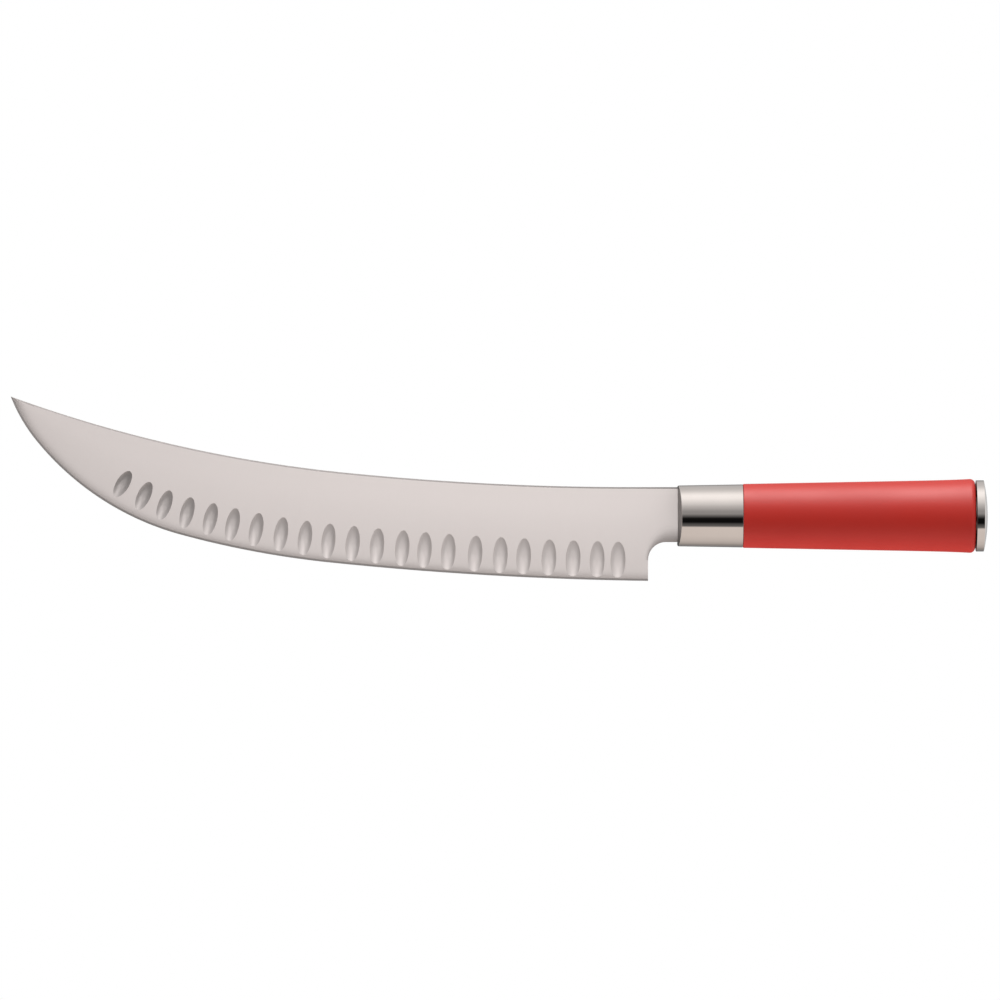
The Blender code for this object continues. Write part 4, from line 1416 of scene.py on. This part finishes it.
@dataclass
class Studio:
    """The camera, the white surroundings, the two light tents, the lamps and the pale floor."""

    # Both light every piece, and neither is mirrored
    LAMPS = (Lamp("top_lamp", 74, 1.0, 17.0), Lamp("low_lamp", -112, 1.0, 16.0))

    centre_z: float = 0.0062
    frame_width: float = 0.38957
    distance: float = 4.0
    sensor: float = 36.0
    tent_radius: float = 2.0
    tent_length: float = 2.6
    tent_sides: int = 128
    lighting_ends: Pair = (1.2, 1.2)
    mirrored_ends: Pair = (0.40, 0.92)
    # How much of its ends' glow doesn't change with the angle
    plain_share: float = 0.6
    floor_z: float = -0.21
    floor_half_x: float = 0.36
    floor_half_y: float = 0.26
    floor_grey: float = 0.9
    floor_roughness: float = 0.9
    # Share of the floor's reach where it starts to fade
    floor_fade: float = 0.6
    floor_sides: int = 96
    low_tint: Colour = (1.106, 1.031, 0.98)
    # The angles between which the tent's glow has that tint
    low_tint_range: Pair = (-150, -40)
    # Brightness of the tent by the angle round the knife: 0 is towards the camera, 90 is up
    tent_glow: tuple[Pair, ...] = (
        (-180, 0.13), (-165, 0.16), (-150, 0.28), (-135, 0.31), (-126, 0.45), (-106, 0.62), (-80, 0.72),
        (-43, 0.74), (-39, 0.17), (-32, 0.10), (-28, 0.062), (-24, 0.006), (-9, 0.006), (-5.5, 0.045),
        (2, 0.19), (5.5, 0.30), (9, 0.36), (14, 0.35), (20, 0.41), (28, 0.55), (36, 0.67), (43, 0.83),
        (60, 1.12), (69, 1.26), (82, 1.31), (93, 1.14), (104, 0.90), (117, 0.735), (143, 0.62),
        (165, 0.25), (180, 0.20),
    )

    def place_camera(self) -> None:
        """Puts the camera level in front of the knife, as in the photograph."""
        lens = bpy.data.cameras.new("camera")
        lens.sensor_width = self.sensor
        lens.lens = self.sensor * self.distance / self.frame_width
        lens.clip_start, lens.clip_end = 0.1, 40.0
        camera = bpy.data.objects.new("camera", lens)
        camera.location = (CENTRE_X, -self.distance, self.centre_z)
        camera.rotation_euler = (QUARTER_TURN, 0, 0)
        bpy.context.scene.collection.objects.link(camera)
        bpy.context.scene.camera = camera

    def light_surroundings(self) -> None:
        """A plain white world."""
        world = bpy.data.worlds.new("white_surroundings")
        world.use_nodes = True
        background = world.node_tree.nodes["Background"]
        background.inputs["Color"].default_value = (1, 1, 1, 1)
        background.inputs["Strength"].default_value = 1.0
        bpy.context.scene.world = world

    def tent_material(self, ends: Pair) -> Material:
        """The tent's glow by the angle round its axis, fading into the glow of its two ends.

        Args:
            ends: The glow of both ends.

        Returns:
            The material.
        """
        material = bpy.data.materials.new("tent_glow")
        material.use_nodes = True
        material.node_tree.nodes.clear()
        graph = Graph(material.node_tree)
        x, y, z = graph.add("ShaderNodeSeparateXYZ", {0: graph.on_object()}).outputs
        angle = graph.maths("ARCTAN2", z, graph.times(y, -1.0))
        share = graph.maths("ADD", graph.maths("DIVIDE", angle, FULL_TURN), 0.5)
        brightest = max(glow for _, glow in self.tent_glow)
        ramp = graph.add("ShaderNodeValToRGB", {"Fac": share})
        stops = ramp.color_ramp.elements
        while len(stops) < len(self.tent_glow):
            stops.new(0.5)
        lowest, highest = self.low_tint_range
        for stop, (degrees, glow) in zip(stops, self.tent_glow):
            tint = self.low_tint if lowest < degrees <= highest else (1.0, 1.0, 1.0)
            stop.position = degrees / 360 + 0.5
            stop.color = (*(glow * channel / brightest for channel in tint), 1)
        mixed = graph.scale(ramp.outputs["Color"], brightest)
        half = self.tent_length / 2
        for way, end_glow in zip((-1.0, 1.0), ends):
            nearness = graph.soft_step(graph.times(x, way), 0.5 * half, half, 0.0, self.plain_share)
            mixed = graph.blend(nearness, mixed, (end_glow, end_glow, end_glow))
        emission = graph.add("ShaderNodeEmission", {"Color": mixed, "Strength": 1.0})
        graph.add("ShaderNodeOutputMaterial", {"Surface": emission.outputs[0]})
        return material

    def raise_tent(self, name: str, ends: Pair, mirrored: bool) -> None:
        """Raises a light tent round the knife, which the camera doesn't see.

        Args:
            name: The tent's name.
            ends: The glow of its ends beyond the tip and beyond the butt.
            mirrored: Whether the steel mirrors it; otherwise it lights the matt surfaces.
        """
        bm = bmesh.new()
        bmesh.ops.create_cone(
            bm, segments=self.tent_sides, cap_ends=True, radius1=self.tent_radius, radius2=self.tent_radius,
            depth=self.tent_length,
        )
        bmesh.ops.rotate(bm, verts=bm.verts, matrix=Matrix.Rotation(QUARTER_TURN, 3, "Y"))
        tent = mesh_object(name, bm)
        tent.data.materials.append(self.tent_material(ends))
        tent.location = (CENTRE_X, 0, 0)
        tent.visible_glossy = mirrored
        tent.visible_diffuse = not mirrored
        tent.visible_camera = False
        tent.visible_shadow = False
        tent.visible_transmission = False

    def lay_floor(self) -> None:
        """The pale floor well below the knife, which fades into the white round the knife's shadow."""
        bm = bmesh.new()
        bmesh.ops.create_circle(bm, cap_ends=True, segments=self.floor_sides, radius=1.0)
        floor = mesh_object("floor", bm)
        floor.scale = (self.floor_half_x, self.floor_half_y, 1)
        floor.location = (CENTRE_X, 0, self.floor_z)
        material, graph, shader = start_material("pale_floor")
        reach = graph.add("ShaderNodeVectorMath", {0: graph.on_object()}, operation="LENGTH")
        seen = graph.soft_step(reach.outputs["Value"], self.floor_fade, 1.0, 1.0, 0.0)
        grey = (*[self.floor_grey] * 3, 1)
        graph.feed(shader, {"Base Color": grey, "Roughness": self.floor_roughness, "Alpha": seen})
        floor.data.materials.append(material)
        floor.visible_glossy = False
        floor.visible_shadow = False

    def add_lamp(self, lamp: Lamp, lit: Object | None = None) -> None:
        """Hangs a lamp that isn't seen itself.

        Args:
            lamp: The lamp.
            lit: The piece that alone mirrors it. Without one it lights every piece and isn't mirrored.
        """
        angle = math.radians(lamp.degrees)
        light = bpy.data.lights.new(lamp.name, "AREA")
        light.shape = "SQUARE"
        light.size = lamp.size
        light.energy = lamp.watts
        hung = bpy.data.objects.new(lamp.name, light)
        side = 1 if lamp.behind else -1
        out = Vector((0, side * math.cos(angle), math.sin(angle)))
        hung.location = Vector((lamp.x, 0, 0)) + out * lamp.distance
        hung.rotation_euler = (-out).to_track_quat("-Z", "Y").to_euler()
        hung.visible_camera = False
        if lit is None:
            hung.visible_glossy = False
        else:
            hung.visible_diffuse = False
            receivers = bpy.data.collections.new(lamp.name + "_on")
            receivers.objects.link(lit)
            hung.light_linking.receiver_collection = receivers
        bpy.context.scene.collection.objects.link(hung)

    def build(self) -> None:
        """Sets up the camera, the light and the floor."""
        self.place_camera()
        self.light_surroundings()
        self.raise_tent("lighting_tent", self.lighting_ends, False)
        self.raise_tent("mirrored_tent", self.mirrored_ends, True)
        self.lay_floor()
        for lamp in self.LAMPS:
            self.add_lamp(lamp)
        bpy.context.scene.view_settings.view_transform = "Standard"


# The knife


def main() -> None:
    """Builds the studio and every piece of the knife, and reports each piece."""
    logging.basicConfig(level=logging.INFO, format="%(name)s: %(message)s")
    studio = Studio()
    studio.build()
    ferrule_low, ferrule_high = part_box("ferrule")
    grip_low, grip_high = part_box("grip")
    cap_low, cap_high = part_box("end_cap")
    seal_low, seal_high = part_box("cap_seal")
    blade_low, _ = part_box("blade")
    front = ferrule_low.x
    pieces = [
        Blade(origin=front, length=front - blade_low.x),
        Ferrule(
            front=front - NOSE_AHEAD, length=ferrule_high.x - front + NOSE_AHEAD, rear_radius=ferrule_high.z
        ),
        Grip(
            front=ferrule_high.x + SEAM, rear=grip_high.x, spigot_front=grip_low.x, rear_radius=grip_high.z
        ),
        EndCap(stem_front=cap_low.x, butt=cap_high.x, radius=cap_high.z),
        SealRing(front=seal_low.x, rear=seal_high.x, radius=seal_high.z),
    ]
    for part in pieces:
        piece = part.build()
        part.dress(piece)
        for lamp in part.HIGHLIGHTS:
            studio.add_lamp(lamp, piece)
    zinc = ZINC_PLATE.material()
    for node in ("tie_rod", "washer", "clamp_nut"):
        dress_node(node, zinc)
    dress_node("tang_bush", GREY_PLASTIC.material())


if __name__ == "__main__":
    main()
